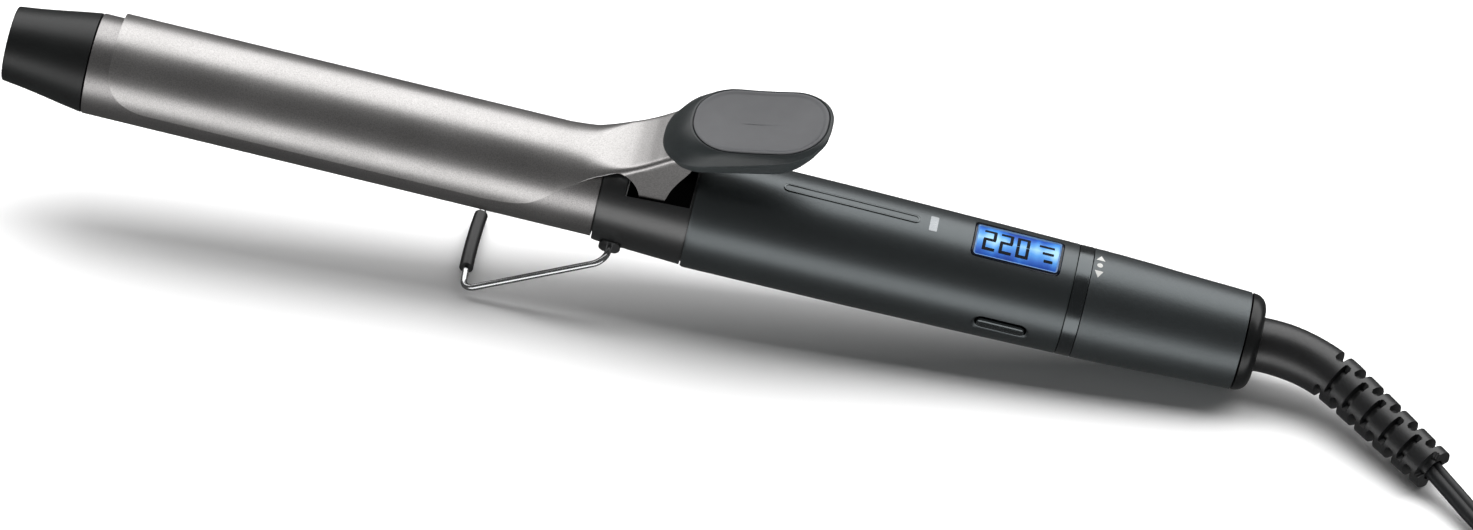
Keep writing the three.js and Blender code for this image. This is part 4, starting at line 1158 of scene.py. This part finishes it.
# Mains plug: a flat two-pin plug moulded on the flex in black PVC, with finger grooves on both
# faces, lying on top of the hank. A ribbed relief joins it to the flex.
PLUG_X, PLUG_Y, PLUG_LOW, PLUG_LONG, PLUG_WIDE, PLUG_THICK = 321.7, -21, 10.9, 24, 35, 13.6
PLUG_MIDDLE = PLUG_LOW + PLUG_THICK / 2
plug_half, plug_cut = PLUG_WIDE / 2, 8.5
plug_plan = [
    (0, plug_cut - plug_half),
    (plug_cut, -plug_half),
    (PLUG_LONG, 3 - plug_half),
    (PLUG_LONG, plug_half - 3),
    (plug_cut, plug_half),
    (0, plug_half - plug_cut),
]
plug_bm = prism([Vector((PLUG_X + x, PLUG_Y + y, PLUG_LOW)) for x, y in plug_plan], (0, 0, PLUG_THICK))
for face in (-1, 1):
    for k in range(4):
        x, z = PLUG_X + 8 + 2.6 * k, PLUG_MIDDLE + face * (PLUG_THICK / 2 + 0.2)
        groove = block((x, PLUG_Y - 9, z - 0.8), (x + 1.2, PLUG_Y + 9, z + 0.8))
        plug_bm = carved(plug_bm, groove)
plug = part("plug_moulding", plug_bm, boot_vinyl, edge=0.9, steps=4, place=METRES)
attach(plug, "root")
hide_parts("plug_body")

relief_outline = [(0, 2.9), (0, 3.5)]
for k in range(5):
    s, r = 2 + 3 * k, 3.7 + 0.28 * k
    relief_outline += [(s, r), (s, r - 0.7), (s + 1.3, r - 0.6), (s + 1.3, r + 0.1)]
relief_outline += [(18.4, 5.2), (18.4, 2.9), (0, 2.9)]
relief_bm = turned(relief_outline, 48)
relief_bm.transform(Matrix.Translation((PLUG_X - 18.3, PLUG_Y, PLUG_MIDDLE)))
relief = part("plug_relief_ribs", relief_bm, boot_vinyl, edge=0.2, place=METRES)
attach(relief, "root")
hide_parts("plug_relief")


# Plug pins: nickel-plated brass, 4 mm across with rounded ends, in short insulating sleeves.
nickel = coated_metal("nickel-plated brass", "#b9b4a4", "#cfcabb", 0.2, 0.2, 0.002)
pin_pieces = []
for name, side in (("plug_pin_left", -1), ("plug_pin_right", 1)):
    where = Matrix.Translation((PLUG_X + PLUG_LONG, PLUG_Y + side * 9.3, PLUG_MIDDLE))
    pin_outline = [(-5, 0), (-5, 2), (17.3, 2)]
    for angle in (0.3, 0.7, 1.1, 1.57):
        pin_outline.append((17.3 + 1.7 * math.sin(angle), 0.3 + 1.7 * math.cos(angle)))
    pin_bm = turned([*pin_outline, (19, 0)], 40)
    pin_bm.transform(where)
    metal = part(name + "_metal", pin_bm, nickel, place=METRES)
    cuff_bm = turned([(-1, 1.9), (-1, 2.06), (9.6, 2.06), (9.9, 1.9), (-1, 1.9)], 40)
    cuff_bm.transform(where)
    cuff = part(name + "_cuff", cuff_bm, boot_vinyl, place=METRES)
    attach(metal, "root")
    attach(cuff, "root")
    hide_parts(name)
    pin_pieces += [metal, cuff]


# Inside the housings: parts that are seen only when the iron is taken apart. They keep their
# plain shapes, with the finish of the real thing.
def inner(material, *nodes):
    """Gives a finish to pieces that keep the frame's own shape."""
    for node in nodes:
        for holder in frame["nodes"][node].material_slots:
            holder.material = material


extruded_alloy = coated_metal("extruded aluminium", "#a4a8aa", "#bfc3c5", 0.42, 0.5, 0.004)
inner(extruded_alloy, "heat_spreader_upper", "heat_spreader_lower")
heater_ceramic = moulded("alumina ceramic, unglazed", "#e2dccd", "#efeadd", 0.75, 0.2, 0.01)
inner(heater_ceramic, "ceramic_heater", "insulating_bush")
brass = coated_metal("brass strip", "#b08f45", "#cbaa5c", 0.3, 0.2, 0.002)
inner(brass, "thermistor", "brush_live", "brush_neutral", "slip_ring_live", "slip_ring_neutral")
spring_steel = coated_metal("ground steel", "#a9abad", "#c6c8ca", 0.25, 0.15, 0.002)
inner(spring_steel, "thermal_fuse", "dial_peg", "dial_return_spring")
inner_abs = moulded("grey ABS, moulded", "#52575a", "#5f6467", 0.55, 0.4, 0.01)
inner(inner_abs, "chassis", "rear_spindle", "swivel_bush")
solder_mask = moulded("fibreglass board, green solder mask", "#17603a", "#1f7346", 0.3, 0.8, 0.01)
inner(solder_mask, "control_board", "display_board", "switch_board")
epoxy = moulded("black epoxy, moulded", "#18191b", "#242528", 0.45, 0.2, 0.006)
inner(epoxy, "triac", "microcontroller", "power_switch", "dial_switch")
film = moulded("yellow polyester film, dipped", "#c79f1e", "#dbb431", 0.35, 0.6, 0.004)
inner(film, "film_capacitor")
light_guide = moulded("frosted acrylic light guide", "#dfe6ee", "#eef3f8", 0.5, 0.3, 0.006)
inner(light_guide, "backlight")
lead_sheath = moulded("red silicone sheath", "#a83a26", "#c24a32", 0.5, 0.5, 0.01)
inner(lead_sheath, "heater_lead_live", "heater_lead_neutral")
